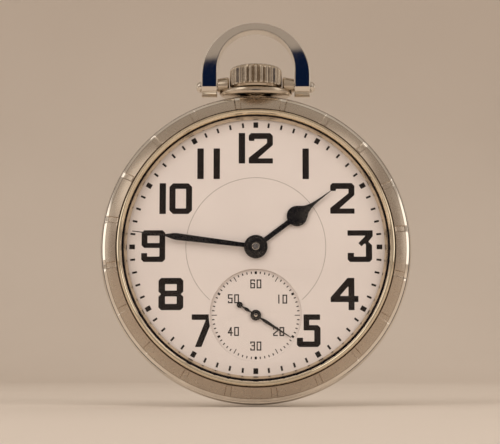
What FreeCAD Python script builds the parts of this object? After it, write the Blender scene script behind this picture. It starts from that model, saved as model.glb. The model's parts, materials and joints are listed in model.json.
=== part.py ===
import FreeCAD, Part
import math
import os
import re
import Sketcher

# An open face, lever set, 16-size pocket watch with a screwed bezel and a screwed back.
#
# The watch stands upright: 12 o'clock is +Z, 3 o'clock is +X, and the dial faces -Y. The origin is the
# middle of the case back's flat outer face. A "depth" is the distance from that face towards the dial,
# so a depth of d lies at y = -d. Wheels are placed in the X-Z plane about the centre arbor at x = 0,
# z = 0. Angles are in degrees, clockwise from 12 o'clock as seen from the dial.

# ---- driving dimensions, in millimetres and degrees ------------------------------------------------

SIZES = {
    # case
    "case_r": 25.9,
    "centre_low": 4.2,
    "centre_high": 8.0,
    "centre_edge_r": 25.55,
    "thread_r": 23.6,
    "thread_gap": 0.1,
    "neck_low": 2.7,
    "neck_high": 9.5,
    "neck_bore_r": 22.3,
    "seat_r": 21.75,
    "seat_high": 8.6,
    "ledge_r": 20.9,
    "ledge_low": 5.9,
    "cavity_r": 21.9,
    "back_flat_r": 15.0,
    "back_wall": 0.6,
    "band_outer_r": 24.8,
    "band_outer_depth": 9.2,
    "band_inner_r": 22.95,
    "band_inner_depth": 10.6,
    "ring_top": 11.8,
    "notch_count": 20,
    "notch_width": 0.7,
    "notch_depth": 0.1,
    "notch_phase": 10.8,
    "crystal_r": 22.1,
    "crystal_seat": 10.75,
    "crystal_top": 13.2,
    "crystal_wall": 0.8,
    # pendant, crown, bow and stem
    "stem_depth": 6.1,
    "pendant_neck_r": 1.85,
    "pendant_r": 4.9,
    "pendant_low": 26.0,
    "pendant_high": 26.95,
    "ear_inner": 4.55,
    "ear_outer": 6.45,
    "ear_inner_r": 1.75,
    "ear_outer_r": 1.6,
    "pivot_height": 27.53,
    "crown_r": 4.41,
    "crown_root_r": 4.14,
    "crown_low": 27.05,
    "crown_flute_low": 27.45,
    "crown_flute_high": 30.0,
    "crown_top": 31.2,
    "flute_count": 26,
    "stem_r": 0.8,
    "stem_square": 1.0,
    "stem_low": 12.0,
    "stem_square_high": 15.0,
    "sleeve_r": 1.25,
    "sleeve_bore_r": 0.95,
    "sleeve_low": 21.95,
    "sleeve_high": 26.5,
    "bow_outer_r": 9.13,
    "bow_outer_height": 29.26,
    "bow_inner_r": 6.53,
    "bow_inner_height": 30.53,
    "bow_foot_r": 1.75,
    "bow_top_thick": 2.6,
    "bow_top_height": 38.7,
    "bow_hole_r": 0.78,
    "bow_screw_r": 0.7,
    "bow_screw_low": 5.0,
    "bow_screw_seat": 9.21,
    "bow_screw_head_r": 0.95,
    "bow_screw_dome": 0.85,
    # plates and bridges
    "plate_r": 21.6,
    "plate_low": 6.5,
    "plate_high": 8.3,
    "plate_rim_r": 20.7,
    "plate_rim_high": 9.25,
    "bridge_r": 20.6,
    "bridge_low": 2.2,
    "bridge_high": 3.5,
    "pillar_r": 1.1,
    "screw_r": 0.45,
    "screw_head_r": 0.85,
    "screw_head_thick": 0.4,
    "jewel_r": 0.6,
    "jewel_thick": 0.5,
    "pivot_r": 0.11,
    "pivot_bore_r": 0.15,
    "arbor_r": 0.3,
    # dial and hands
    "dial_r": 21.9,
    "dial_low": 9.25,
    "dial_high": 9.7,
    "dial_bore_r": 1.3,
    "seconds_opening_r": 7.55,
    "seconds_dial_r": 7.95,
    "seconds_dial_low": 8.95,
    "seconds_bore_r": 0.35,
    "dial_foot_r": 0.6,
    "dial_foot_low": 7.2,
    "hour_hand_low": 10.05,
    "minute_hand_low": 10.55,
    "seconds_hand_low": 9.5,
    "hand_thick": 0.16,
    "hour_hand_angle": 53.2,
    "minute_hand_angle": 277.1,
    "seconds_hand_angle": 122.4,
    "hour_hand_length": 15.4,
    "hour_bulb_at": 8.45,
    "hour_bulb_r": 1.69,
    "minute_hand_length": 20.4,
    "seconds_hand_length": 6.8,
    "hand_hub_r": 1.94,
    "seconds_hub_r": 0.88,
    # trains: teeth and modules
    "barrel_teeth": 80,
    "centre_pinion_teeth": 10,
    "barrel_module": 0.22,
    "centre_teeth": 80,
    "third_pinion_teeth": 10,
    "centre_module": 0.175,
    "third_teeth": 75,
    "fourth_pinion_teeth": 10,
    "third_module": 0.15,
    "fourth_teeth": 80,
    "escape_pinion_teeth": 8,
    "fourth_module": 0.12,
    "escape_teeth": 15,
    "escape_r": 3.6,
    "cannon_teeth": 10,
    "minute_teeth": 30,
    "minute_pinion_teeth": 8,
    "hour_teeth": 32,
    "setting_teeth": 44,
    "motion_module": 0.17,
    "crown_wheel_teeth": 32,
    "ratchet_teeth": 44,
    "winding_teeth": 18,
    "winding_pinion_r": 2.0,
    "winding_tooth_height": 0.4,
    "winding_pinion_low": 15.05,
    "winding_pinion_high": 17.4,
    "clutch_r": 1.7,
    "clutch_groove_r": 1.1,
    "clutch_low": 12.7,
    "clutch_groove_low": 14.2,
    "clutch_groove_high": 14.75,
    "clutch_high": 14.95,
    "clutch_play": 0.04,
    # depths of the wheels, pinions and levers
    "centre_wheel_low": 3.75,
    "centre_wheel_high": 3.97,
    "centre_pinion_low": 4.15,
    "centre_pinion_high": 5.9,
    "third_wheel_low": 5.95,
    "third_wheel_high": 6.15,
    "third_pinion_low": 3.66,
    "third_pinion_high": 4.3,
    "fourth_wheel_low": 4.6,
    "fourth_wheel_high": 4.8,
    "fourth_pinion_low": 5.65,
    "fourth_pinion_high": 6.4,
    "escape_wheel_low": 5.9,
    "escape_wheel_high": 6.1,
    "escape_pinion_low": 4.35,
    "escape_pinion_high": 5.05,
    "motion_low": 8.35,
    "motion_high": 8.58,
    "cannon_leaves_high": 8.95,
    "hour_wheel_low": 8.98,
    "hour_wheel_high": 9.15,
    "setting_lever_low": 8.34,
    "setting_lever_high": 8.62,
    "clutch_lever_low": 8.7,
    "clutch_lever_high": 8.92,
    "clutch_pin_low": 7.3,
    "ratchet_rise": 0.7,
    "ratchet_gap": 0.1,
    "pallet_bridge_low": 5.25,
    "pallet_bridge_high": 5.65,
    "centre_arbor_r": 0.45,
    "cannon_r": 0.62,
    "hour_pipe_bore_r": 0.68,
    "hour_pipe_r": 1.0,
    "barrel_bore_r": 0.75,
    "barrel_wall": 0.4,
    # places of the arbors
    "fourth_distance": 11.2,
    "barrel_angle": 305.0,
    "escape_angle": 90.0,
    "balance_distance": 11.0,
    "balance_angle": 110.0,
    "pallet_to_escape": 4.16,
    "pallet_to_balance": 5.2,
    "minute_wheel_angle": 15.0,
    "crown_wheel_height": 12.8,
    "click_reach": 8.2,
    "click_bearing": 330.0,
    "setting_lever_x": 5.2,
    "setting_lever_z": 15.2,
    "clutch_lever_x": 6.2,
    "clutch_lever_z": 12.9,
    # escapement and balance
    "balance_r": 6.3,
    "balance_rim": 0.6,
    "balance_low": 4.3,
    "balance_high": 5.0,
    "balance_screw_count": 14,
    "balance_screw_r": 0.28,
    "balance_screw_length": 0.6,
    "balance_arm_low": 4.55,
    "balance_arm_high": 4.75,
    "staff_r": 0.35,
    "fork_low": 5.85,
    "fork_high": 6.05,
    "stone_spread": 75.0,
    "stone_reach": 2.15,
    "stone_length": 0.34,
    "stone_half_width": 0.22,
    "roller_low": 5.3,
    "roller_high": 5.6,
    "roller_r": 1.5,
    "impulse_reach": 1.15,
    "impulse_r": 0.16,
    "impulse_high": 6.1,
    "hairspring_low": 3.9,
    "hairspring_high": 4.1,
    "hairspring_r": 3.0,
    "hairspring_turns": 11,
    "mainspring_turns": 9,
    "barrel_r": 8.45,
    "barrel_low": 4.15,
    "barrel_high": 5.75,
}

PLANE_NAMES = {"dial": "XZ_Plane", "top": "XY_Plane", "side": "YZ_Plane"}
TOOTH_ROOT = 1.3  # dedendum, in modules
TOOTH_TIP = 0.95  # addendum, in modules
ROOT_SHARE = 0.22  # half a tooth's width at its root, as a share of the pitch
TIP_SHARE = 0.07  # the same at its tip


def at_bearing(distance, bearing):
    """(x, z) at a distance and a clockwise bearing from 12 o'clock."""
    turn = math.radians(bearing)
    return distance * math.sin(turn), distance * math.cos(turn)


def bearing_of(dx, dz):
    return math.degrees(math.atan2(dx, dz))


def crossing(first, first_r, second, second_r, side):
    """Where two circles cross, on the given side of the line between their centres."""
    dx, dz = second[0] - first[0], second[1] - first[1]
    span = math.hypot(dx, dz)
    along = (first_r**2 - second_r**2 + span**2) / (2 * span)
    off = side * math.sqrt(first_r**2 - along**2)
    return (
        first[0] + (along * dx + off * dz) / span,
        first[1] + (along * dz - off * dx) / span,
    )


def centre_distance(teeth, pinion, module):
    return (SIZES[teeth] + SIZES[pinion]) / 2 * SIZES[module]


def meshing_phase(driver_phase, driver_teeth, bearing, teeth):
    """The bearing of a wheel's first tooth that puts it in mesh with the wheel that drives it."""
    share = ((bearing - driver_phase) * driver_teeth / 360) % 1
    return bearing + 180 - (0.5 - share) * 360 / teeth


def place_arbors():
    """The arbors' places, from the centre distances of the trains."""
    centre = (0.0, 0.0)
    fourth = (0.0, -SIZES["fourth_distance"])
    barrel = at_bearing(
        centre_distance("barrel_teeth", "centre_pinion_teeth", "barrel_module"),
        SIZES["barrel_angle"],
    )
    third = crossing(
        centre,
        centre_distance("centre_teeth", "third_pinion_teeth", "centre_module"),
        fourth,
        centre_distance("third_teeth", "fourth_pinion_teeth", "third_module"),
        side=1,
    )
    step = at_bearing(
        centre_distance("fourth_teeth", "escape_pinion_teeth", "fourth_module"),
        SIZES["escape_angle"],
    )
    escape = (fourth[0] + step[0], fourth[1] + step[1])
    balance = at_bearing(SIZES["balance_distance"], SIZES["balance_angle"])
    pallet = crossing(
        escape,
        SIZES["pallet_to_escape"],
        balance,
        SIZES["pallet_to_balance"],
        side=1,
    )
    minute = at_bearing(
        centre_distance("cannon_teeth", "minute_teeth", "motion_module"),
        SIZES["minute_wheel_angle"],
    )
    setting_reach = centre_distance("minute_teeth", "setting_teeth", "motion_module")
    setting = (0.0, minute[1] + math.sqrt(setting_reach**2 - minute[0] ** 2))
    crown_wheel = (0.0, SIZES["crown_wheel_height"])
    step = at_bearing(SIZES["click_reach"], SIZES["click_bearing"])
    click = (barrel[0] + step[0], barrel[1] + step[1])
    return {
        "centre": centre,
        "fourth": fourth,
        "barrel": barrel,
        "third": third,
        "escape": escape,
        "balance": balance,
        "pallet": pallet,
        "minute": minute,
        "setting": setting,
        "crown_wheel": crown_wheel,
        "click": click,
    }


PLACES = place_arbors()
for arbor, (arbor_x, arbor_z) in PLACES.items():
    SIZES[f"{arbor}_x"] = arbor_x
    SIZES[f"{arbor}_z"] = arbor_z

# ---- the document and its sheet --------------------------------------------------------------------

document = FreeCAD.newDocument("pocket_watch")
sheet = document.addObject("Spreadsheet::Sheet", "Sizes")
for row, (alias, value) in enumerate(SIZES.items(), start=1):
    sheet.set(f"A{row}", alias)
    sheet.set(f"B{row}", repr(value))
    sheet.setAlias(f"B{row}", alias)
document.recompute()

nodes = []


def number(text):
    """The value of an expression that uses the sheet's names."""
    return float(sheet.evalExpression(str(text)))


def bound(text):
    """The same expression as another object has to write it."""

    def from_sheet(word):
        return f"Sizes.{word[0]}" if word[0] in SIZES else word[0]

    return re.sub(r"[a-z]\w*", from_sheet, str(text))


def keep(part, label):
    """Marks an object as a finished sub-part with its own file."""
    part.Label = label
    nodes.append(part)
    return part


# ---- sketches and features -------------------------------------------------------------------------


def new_body(label):
    body = document.addObject("PartDesign::Body", label)
    body.AllowCompound = True
    return body


def new_sketch(body, plane, offset):
    sketch = body.newObject("Sketcher::SketchObject", f"{body.Name}_outline")
    origin = next(f for f in body.Origin.OriginFeatures if f.Role == PLANE_NAMES[plane])
    sketch.AttachmentSupport = [(origin, "")]
    sketch.MapMode = "FlatFace"
    if offset != "0":
        sketch.setExpression("AttachmentOffset.Base.z", bound(offset))
    return sketch


def pinned(vertex, across, up):
    """Constraints that hold a sketch vertex where two expressions say."""
    made = []
    for kind, axis, text in (("DistanceX", -2, across), ("DistanceY", -1, up)):
        value = number(text)
        if abs(value) < 1e-9:
            made.append((Sketcher.Constraint("PointOnObject", *vertex, axis), None))
        else:
            made.append((Sketcher.Constraint(kind, -1, 1, *vertex, value), bound(text)))
    return made


def add_circle(sketch, across, up, radius):
    middle = FreeCAD.Vector(number(across), number(up), 0)
    circle = Part.Circle(middle, FreeCAD.Vector(0, 0, 1), number(radius))
    index = sketch.addGeometry(circle)
    held = Sketcher.Constraint("Radius", index, number(radius))
    return [*pinned((index, 3), across, up), (held, bound(radius))]


def dome_middle(start, stop):
    """The point half way along an arc between two points, its centre on the turning axis."""
    height = (start.x**2 + start.y**2 - stop.x**2 - stop.y**2) / (2 * (start.y - stop.y))
    centre = FreeCAD.Vector(0, height, 0)
    half_way = (start - centre) + (stop - centre)
    return centre + half_way.normalize() * start.distanceToPoint(centre)


def add_outline(sketch, outline):
    """A closed outline of (across, up) corners.

    A third entry makes a point one that an arc passes through. The word "dome" between two corners
    joins them by an arc centred on the turning axis.
    """
    corners = [i for i, p in enumerate(outline) if len(p) == 2]
    points = {i: FreeCAD.Vector(number(outline[i][0]), number(outline[i][1]), 0) for i in corners}
    held, ends = [], []
    for n, start in enumerate(corners):
        stop = corners[(n + 1) % len(corners)]
        middle = outline[(start + 1) % len(outline)]
        if len(middle) == 2:
            index = sketch.addGeometry(Part.LineSegment(points[start], points[stop]))
            ends.append((index, 1, 2))
            continue
        if middle == "dome":
            passing = dome_middle(points[start], points[stop])
        else:
            passing = FreeCAD.Vector(number(middle[0]), number(middle[1]), 0)
        index = sketch.addGeometry(Part.Arc(points[start], passing, points[stop]))
        forward = sketch.getPoint(index, 1).distanceToPoint(points[start]) < 1e-6
        ends.append((index, 1, 2) if forward else (index, 2, 1))
        if middle == "dome":
            held.append((Sketcher.Constraint("PointOnObject", index, 3, -2), None))
        else:
            mark = sketch.addGeometry(Part.Point(passing), True)
            held += pinned((mark, 1), *middle[:2])
            held.append((Sketcher.Constraint("PointOnObject", mark, 1, index), None))
    for n, start in enumerate(corners):
        index, first, _ = ends[n]
        before, _, last = ends[n - 1]
        held += pinned((index, first), *outline[start])
        held.append((Sketcher.Constraint("Coincident", before, last, index, first), None))
    return held


def add_loops(sketch, loops):
    """Circles, outlines of expressions, and lists of ready edges, with what holds them."""
    held = []
    for loop in loops:
        if isinstance(loop, tuple):
            held += add_circle(sketch, *loop)
        elif isinstance(loop[0], tuple):
            held += add_outline(sketch, loop)
        else:
            sketch.addGeometry(loop)
    if held:
        indices = sketch.addConstraint([constraint for constraint, _ in held])
        for index, (_, text) in zip(indices, held):
            if text:
                sketch.setExpression(f"Constraints[{index}]", text)


def pad(body, plane, low, high, loops):
    sketch = new_sketch(body, plane, str(low))
    add_loops(sketch, loops)
    feature = body.newObject("PartDesign::Pad", f"{body.Name}_pad")
    feature.Profile = sketch
    feature.setExpression("Length", bound(f"({high}) - ({low})"))
    document.recompute()
    return feature


def cut(body, plane, low, high, loops):
    before = body.Shape.Volume
    sketch = new_sketch(body, plane, str(low))
    add_loops(sketch, loops)
    feature = body.newObject("PartDesign::Pocket", f"{body.Name}_pocket")
    feature.Profile = sketch
    feature.Reversed = True
    feature.setExpression("Length", bound(f"({high}) - ({low})"))
    document.recompute()
    if not body.Shape.Volume < before:
        raise RuntimeError(f"a pocket of {body.Label} cuts nothing")
    return feature


def revolve(body, plane, outline):
    """Turns an outline about the watch's axis, or about the stem's axis for the dial plane."""
    sketch = new_sketch(body, plane, "0")
    add_loops(sketch, [outline])
    feature = body.newObject("PartDesign::Revolution", f"{body.Name}_turned")
    feature.Profile = sketch
    feature.ReferenceAxis = (sketch, ["V_Axis"])
    feature.Angle = 360
    document.recompute()
    return feature


def by_depth(outline):
    """An outline of (radius, depth) as the top plane's sketch has it."""
    return [p if p == "dome" else (p[0], f"-({p[1]})", *p[2:]) for p in outline]


def turned(label, outline):
    """A body turned about the watch's axis from an outline of (radius, depth)."""
    body = new_body(label)
    revolve(body, "top", by_depth(outline))
    return body


def stem_turned(label, outline):
    """A body turned about the stem's axis from an outline of (radius, height)."""
    body = new_body(label)
    revolve(body, "dial", outline)
    body.setExpression("Placement.Base.y", bound("-stem_depth"))
    return body


def stand_at(body, place, turn=None):
    """Stands a body on an arbor, turned clockwise."""
    x, z = (f"{place}_x", f"{place}_z") if isinstance(place, str) else place
    body.setExpression("Placement.Base.x", bound(x))
    body.setExpression("Placement.Base.z", bound(z))
    if turn is not None:
        axis = FreeCAD.Vector(0, 1, 0)
        body.Placement = FreeCAD.Placement(body.Placement.Base, FreeCAD.Rotation(axis, turn))


def tube(inner, outer, low, high):
    return [(inner, low), (outer, low), (outer, high), (inner, high)]


def stepped(*steps):
    """An outline of a solid shaft, from (radius, low, high) steps along its axis."""
    outline = [("0", steps[0][1])]
    for radius, low, high in steps:
        outline += [(radius, low), (radius, high)]
    return [*outline, ("0", steps[-1][2])]


def rectangle(left, low, right, high):
    return [(left, low), (right, low), (right, high), (left, high)]


def toothed_edges(teeth, root_r, tip_r, root_share=ROOT_SHARE, tip_share=TIP_SHARE):
    """The outline of a toothed wheel, with a tooth at the top."""
    corners = []
    for tooth in range(int(teeth)):
        for radius, share in (
            (root_r, -root_share),
            (tip_r, -tip_share),
            (tip_r, tip_share),
            (root_r, root_share),
        ):
            x, y = at_bearing(radius, (tooth + share) * 360 / teeth)
            corners.append(FreeCAD.Vector(x, y, 0))
    return [Part.LineSegment(a, b) for a, b in zip(corners, corners[1:] + corners[:1])]


def gear_edges(teeth, module):
    count, size = number(teeth), number(module)
    return toothed_edges(count, (count / 2 - TOOTH_ROOT) * size, (count / 2 + TOOTH_TIP) * size)


def windows(arms, inner_r, outer_r, arm_width):
    """The openings between a wheel's arms."""
    loops = []
    for arm in range(arms):
        corners = []
        for radius in (inner_r, outer_r):
            lean = math.degrees(math.asin(arm_width / 2 / radius))
            start = arm * 360 / arms + lean
            stop = (arm + 1) * 360 / arms - lean
            bearings = (start, (start + stop) / 2, stop)
            corners.append([FreeCAD.Vector(*at_bearing(radius, b), 0) for b in bearings])
        inner, outer = corners
        loops.append(
            [
                Part.Arc(*outer),
                Part.LineSegment(outer[2], inner[2]),
                Part.Arc(*inner),
                Part.LineSegment(inner[0], outer[0]),
            ]
        )
    return loops


def spiral_edges(inner_r, outer_r, turns, thick, steps_a_turn=24):
    """A coiled strip, from its inner end to its outer end and back."""
    count = int(turns * steps_a_turn)
    sides = []
    for side in (-0.5, 0.5):
        line = []
        for step in range(count + 1):
            radius = inner_r + (outer_r - inner_r) * step / count + side * thick
            x, y = at_bearing(radius, step * 360 / steps_a_turn)
            line.append(FreeCAD.Vector(x, y, 0))
        sides.append(line)
    corners = sides[0] + sides[1][::-1]
    return [Part.LineSegment(a, b) for a, b in zip(corners, corners[1:] + corners[:1])]


# ---- case ------------------------------------------------------------------------------------------


def make_case():
    centre = turned(
        "case_center",
        [
            ("ledge_r", "ledge_low"),
            ("cavity_r", "ledge_low"),
            ("cavity_r", "neck_low"),
            ("thread_r", "neck_low"),
            ("thread_r", "centre_low"),
            ("centre_edge_r", "centre_low"),
            ("case_r", "(centre_low + centre_high) / 2", "through"),
            ("centre_edge_r", "centre_high"),
            ("thread_r", "centre_high"),
            ("thread_r", "neck_high"),
            ("neck_bore_r", "neck_high"),
            ("neck_bore_r", "seat_high"),
            ("seat_r", "seat_high"),
            ("seat_r", "plate_low"),
            ("ledge_r", "plate_low"),
        ],
    )
    cut(centre, "top", "ledge_r - 2", "case_r + 1", [("0", "-stem_depth", "sleeve_r")])
    keep(centre, "case_center")

    keep(
        turned(
            "case_back",
            [
                ("0", "0"),
                ("back_flat_r", "0"),
                ("21", "0.72", "through"),
                ("centre_edge_r - 0.85", "2.3"),
                ("centre_edge_r - 0.3", "3.1", "through"),
                ("centre_edge_r - 0.1", "centre_low - 0.05"),
                ("thread_r + thread_gap", "centre_low - 0.05"),
                ("thread_r + thread_gap", "neck_low - 0.1"),
                ("21.5", "1.5", "through"),
                ("back_flat_r", "back_wall"),
                ("0", "back_wall"),
            ],
        ),
        "case_back",
    )

    bezel = turned(
        "bezel",
        [
            ("thread_r + thread_gap", "centre_high + 0.05"),
            ("centre_edge_r - 0.05", "centre_high + 0.05"),
            ("centre_edge_r - 0.12", "8.72", "through"),
            ("band_outer_r", "band_outer_depth"),
            ("band_inner_r", "band_inner_depth"),
            ("band_inner_r - 0.1", "band_inner_depth - 0.1"),
            ("band_inner_r - 0.15", "band_inner_depth + 0.3"),
            ("22.42", "ring_top", "through"),
            ("crystal_r - 0.18", "crystal_seat + 0.6"),
            ("crystal_r + 0.05", "crystal_seat + 0.45"),
            ("crystal_r + 0.05", "crystal_seat"),
            ("crystal_r - 0.5", "crystal_seat"),
            ("crystal_r - 0.5", "dial_high + 0.3"),
            ("neck_bore_r - 0.1", "dial_high + 0.3"),
            ("neck_bore_r - 0.1", "neck_high + 0.25"),
            ("thread_r + thread_gap", "neck_high + 0.25"),
        ],
    )
    notch = new_sketch(bezel, "side", "-notch_width / 2")
    add_loops(
        notch,
        [
            [
                ("-(band_outer_depth - notch_depth) + 0.1", "band_outer_r + 0.13"),
                ("-(band_inner_depth - notch_depth)", "band_inner_r + 0.1"),
                ("-(band_inner_depth + 0.6)", "band_inner_r + 0.1"),
                ("-(band_outer_depth + 0.6)", "band_outer_r + 0.6"),
            ]
        ],
    )
    pocket = bezel.newObject("PartDesign::Pocket", "bezel_notch")
    pocket.Profile = notch
    pocket.Reversed = True
    pocket.setExpression("Length", bound("notch_width"))
    document.recompute()
    plain = bezel.Shape.Volume
    pattern = bezel.newObject("PartDesign::PolarPattern", "bezel_notches")
    pattern.Originals = [pocket]
    axis = next(f for f in bezel.Origin.OriginFeatures if f.Role == "Y_Axis")
    pattern.Axis = (axis, [""])
    pattern.Angle = 360
    pattern.setExpression("Occurrences", bound("notch_count"))
    bezel.Tip = pattern
    document.recompute()
    if not bezel.Shape.Volume < plain:
        raise RuntimeError("the bezel's notches are missing")
    stand_at(bezel, ("0", "0"), SIZES["notch_phase"])
    keep(bezel, "bezel")

    keep(
        turned(
            "crystal",
            [
                ("0", "crystal_top"),
                "dome",
                ("crystal_r - 0.25", "crystal_seat + 0.62"),
                ("crystal_r", "crystal_seat + 0.4"),
                ("crystal_r", "crystal_seat"),
                ("crystal_r - 0.75", "crystal_seat"),
                "dome",
                ("0", "crystal_top - crystal_wall"),
            ],
        ),
        "crystal",
    )
    return centre


def make_pendant(centre):
    blank = stem_turned(
        "pendant_turned",
        [
            ("0", "centre_edge_r - 0.6"),
            ("pendant_neck_r", "centre_edge_r - 0.6"),
            ("pendant_neck_r", "pendant_low - 0.05"),
            ("pendant_r - 0.4", "pendant_low"),
            ("pendant_r", "(pendant_low + pendant_high) / 2", "through"),
            ("pendant_r - 0.4", "pendant_high"),
            ("0", "pendant_high"),
        ],
    )
    ears = []
    for side in (-1, 1):
        ear = document.addObject("Part::Cone", "pendant_ear")
        ear.setExpression("Radius1", bound("ear_inner_r"))
        ear.setExpression("Radius2", bound("ear_outer_r"))
        ear.setExpression("Height", bound("ear_outer - ear_inner"))
        turn = FreeCAD.Rotation(FreeCAD.Vector(0, 1, 0), side * 90)
        ear.Placement = FreeCAD.Placement(FreeCAD.Vector(), turn)
        ear.setExpression("Placement.Base.x", bound(f"{side} * ear_inner"))
        ear.setExpression("Placement.Base.y", bound("-stem_depth"))
        ear.setExpression("Placement.Base.z", bound("pivot_height"))
        ears.append(ear)
    blend = new_body("pendant_saddle")
    pad(
        blend,
        "top",
        "pendant_low + 0.1",
        "pendant_high",
        [rectangle("-ear_outer + 0.35", "-stem_depth - 1.1", "ear_outer - 0.35", "-stem_depth + 1.1")],
    )
    joined = document.addObject("Part::MultiFuse", "pendant_joined")
    joined.Shapes = [blank, blend, *ears]
    bore = document.addObject("Part::Cylinder", "pendant_bore")
    bore.setExpression("Radius", bound("sleeve_r"))
    bore.setExpression("Height", bound("10"))
    bore.setExpression("Placement.Base.y", bound("-stem_depth"))
    bore.setExpression("Placement.Base.z", bound("ledge_r"))
    holes = [bore]
    for side in (-1, 1):
        hole = document.addObject("Part::Cylinder", "pendant_screw_hole")
        hole.setExpression("Radius", bound("bow_screw_r"))
        hole.setExpression("Height", bound("ear_outer - bow_screw_low + 1"))
        turn = FreeCAD.Rotation(FreeCAD.Vector(0, 1, 0), side * 90)
        hole.Placement = FreeCAD.Placement(FreeCAD.Vector(), turn)
        hole.setExpression("Placement.Base.x", bound(f"{side} * bow_screw_low"))
        hole.setExpression("Placement.Base.y", bound("-stem_depth"))
        hole.setExpression("Placement.Base.z", bound("pivot_height"))
        holes.append(hole)
    removed = document.addObject("Part::MultiFuse", "pendant_removed")
    removed.Shapes = [centre, *holes]
    pendant = document.addObject("Part::Cut", "pendant")
    pendant.Base = joined
    pendant.Tool = removed
    keep(pendant, "pendant")


def make_bow():
    front = new_body("bow_front")
    outer_z, outer_r = "bow_outer_height", "bow_outer_r"
    inner_z, inner_r = "bow_inner_height", "bow_inner_r"
    low = "pivot_height - bow_foot_r"
    pad(
        front,
        "dial",
        "stem_depth - bow_foot_r",
        "stem_depth + bow_foot_r",
        [
            [
                (outer_r, low),
                (outer_r, outer_z),
                ("0", f"{outer_z} + {outer_r}", "through"),
                (f"-{outer_r}", outer_z),
                (f"-{outer_r}", low),
                (f"-{inner_r}", low),
                (f"-{inner_r}", inner_z),
                ("0", f"{inner_z} + {inner_r}", "through"),
                (inner_r, inner_z),
                (inner_r, low),
            ]
        ],
    )
    side = new_body("bow_side")
    middle = "-stem_depth"
    pad(
        side,
        "side",
        "-bow_outer_r - 1",
        "bow_outer_r + 1",
        [
            [
                (f"{middle} - bow_foot_r", "pivot_height"),
                (middle, "pivot_height - bow_foot_r", "through"),
                (f"{middle} + bow_foot_r", "pivot_height"),
                (f"{middle} + bow_top_thick / 2", "bow_top_height"),
                (f"{middle} - bow_top_thick / 2", "bow_top_height"),
            ]
        ],
    )
    shape = document.addObject("Part::MultiCommon", "bow_shape")
    shape.Shapes = [front, side]
    hole = document.addObject("Part::Cylinder", "bow_hole")
    hole.setExpression("Radius", bound("bow_hole_r"))
    hole.setExpression("Height", bound("2 * bow_outer_r + 2"))
    hole.Placement = FreeCAD.Placement(FreeCAD.Vector(), FreeCAD.Rotation(FreeCAD.Vector(0, 1, 0), 90))
    hole.setExpression("Placement.Base.x", bound("-bow_outer_r - 1"))
    hole.setExpression("Placement.Base.y", bound("-stem_depth"))
    hole.setExpression("Placement.Base.z", bound("pivot_height"))
    bow = document.addObject("Part::Cut", "bow")
    bow.Base = shape
    bow.Tool = hole
    keep(bow, "bow")

    screw = new_body("bow_screw")
    revolve(
        screw,
        "dial",
        [
            ("0", "bow_screw_low"),
            ("bow_screw_r", "bow_screw_low"),
            ("bow_screw_r", "bow_screw_seat"),
            ("bow_screw_head_r", "bow_screw_seat"),
            "dome",
            ("0", "bow_screw_seat + bow_screw_dome"),
        ],
    )
    turn = FreeCAD.Rotation(FreeCAD.Vector(0, 1, 0), 90)
    screw.Placement = FreeCAD.Placement(FreeCAD.Vector(), turn)
    screw.setExpression("Placement.Base.y", bound("-stem_depth"))
    screw.setExpression("Placement.Base.z", bound("pivot_height"))
    mirrored = document.addObject("Part::Mirroring", "bow_screw_left")
    mirrored.Source = screw
    mirrored.Normal = FreeCAD.Vector(1, 0, 0)
    pair = document.addObject("Part::Compound", "bow_screws")
    pair.Links = [screw, mirrored]
    keep(pair, "bow_screws")


def make_crown_and_stem():
    crown = stem_turned(
        "crown",
        [
            ("stem_r", "crown_low"),
            ("crown_r - 0.25", "crown_low"),
            ("crown_r - 0.1", "crown_flute_low"),
            ("crown_root_r", "crown_flute_low"),
            ("crown_root_r", "crown_flute_high"),
            "dome",
            ("0", "crown_top"),
            ("0", "crown_flute_high"),
            ("stem_r", "crown_flute_high"),
        ],
    )
    flutes = toothed_edges(
        SIZES["flute_count"],
        SIZES["crown_root_r"] - 0.02,
        SIZES["crown_r"],
        root_share=0.36,
        tip_share=0.2,
    )
    pad(crown, "top", "crown_flute_low", "crown_flute_high", [flutes, ("0", "0", "crown_root_r - 0.5")])
    keep(crown, "crown")

    stem = stem_turned("winding_stem", stepped(("stem_r", "stem_square_high", "crown_flute_high")))
    half = "stem_square / 2"
    pad(
        stem,
        "top",
        "stem_low",
        "stem_square_high",
        [rectangle(f"-{half}", f"-{half}", half, half)],
    )
    keep(stem, "winding_stem")
    keep(
        stem_turned("pendant_sleeve", tube("sleeve_bore_r", "sleeve_r", "sleeve_low", "sleeve_high")),
        "pendant_sleeve",
    )

    clutch = stem_turned(
        "clutch",
        [
            ("0", "clutch_low"),
            ("clutch_r", "clutch_low"),
            ("clutch_r", "clutch_groove_low"),
            ("clutch_groove_r", "clutch_groove_low"),
            ("clutch_groove_r", "clutch_groove_high"),
            ("clutch_r", "clutch_groove_high"),
            ("clutch_r", "clutch_high"),
            ("0", "clutch_high"),
        ],
    )
    wide = "(stem_square / 2 + clutch_play)"
    cut(clutch, "top", "clutch_low - 1", "clutch_high + 1", [rectangle(f"-{wide}", f"-{wide}", wide, wide)])
    keep(clutch, "clutch")

    pinion = new_body("winding_pinion")
    reach = SIZES["winding_pinion_r"]
    edges = toothed_edges(SIZES["winding_teeth"], reach - SIZES["winding_tooth_height"], reach)
    pad(pinion, "top", "winding_pinion_low", "winding_pinion_high", [edges, ("0", "0", "stem_r")])
    pinion.setExpression("Placement.Base.y", bound("-stem_depth"))
    keep(pinion, "winding_pinion")


# ---- plates and bridges ----------------------------------------------------------------------------

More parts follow.
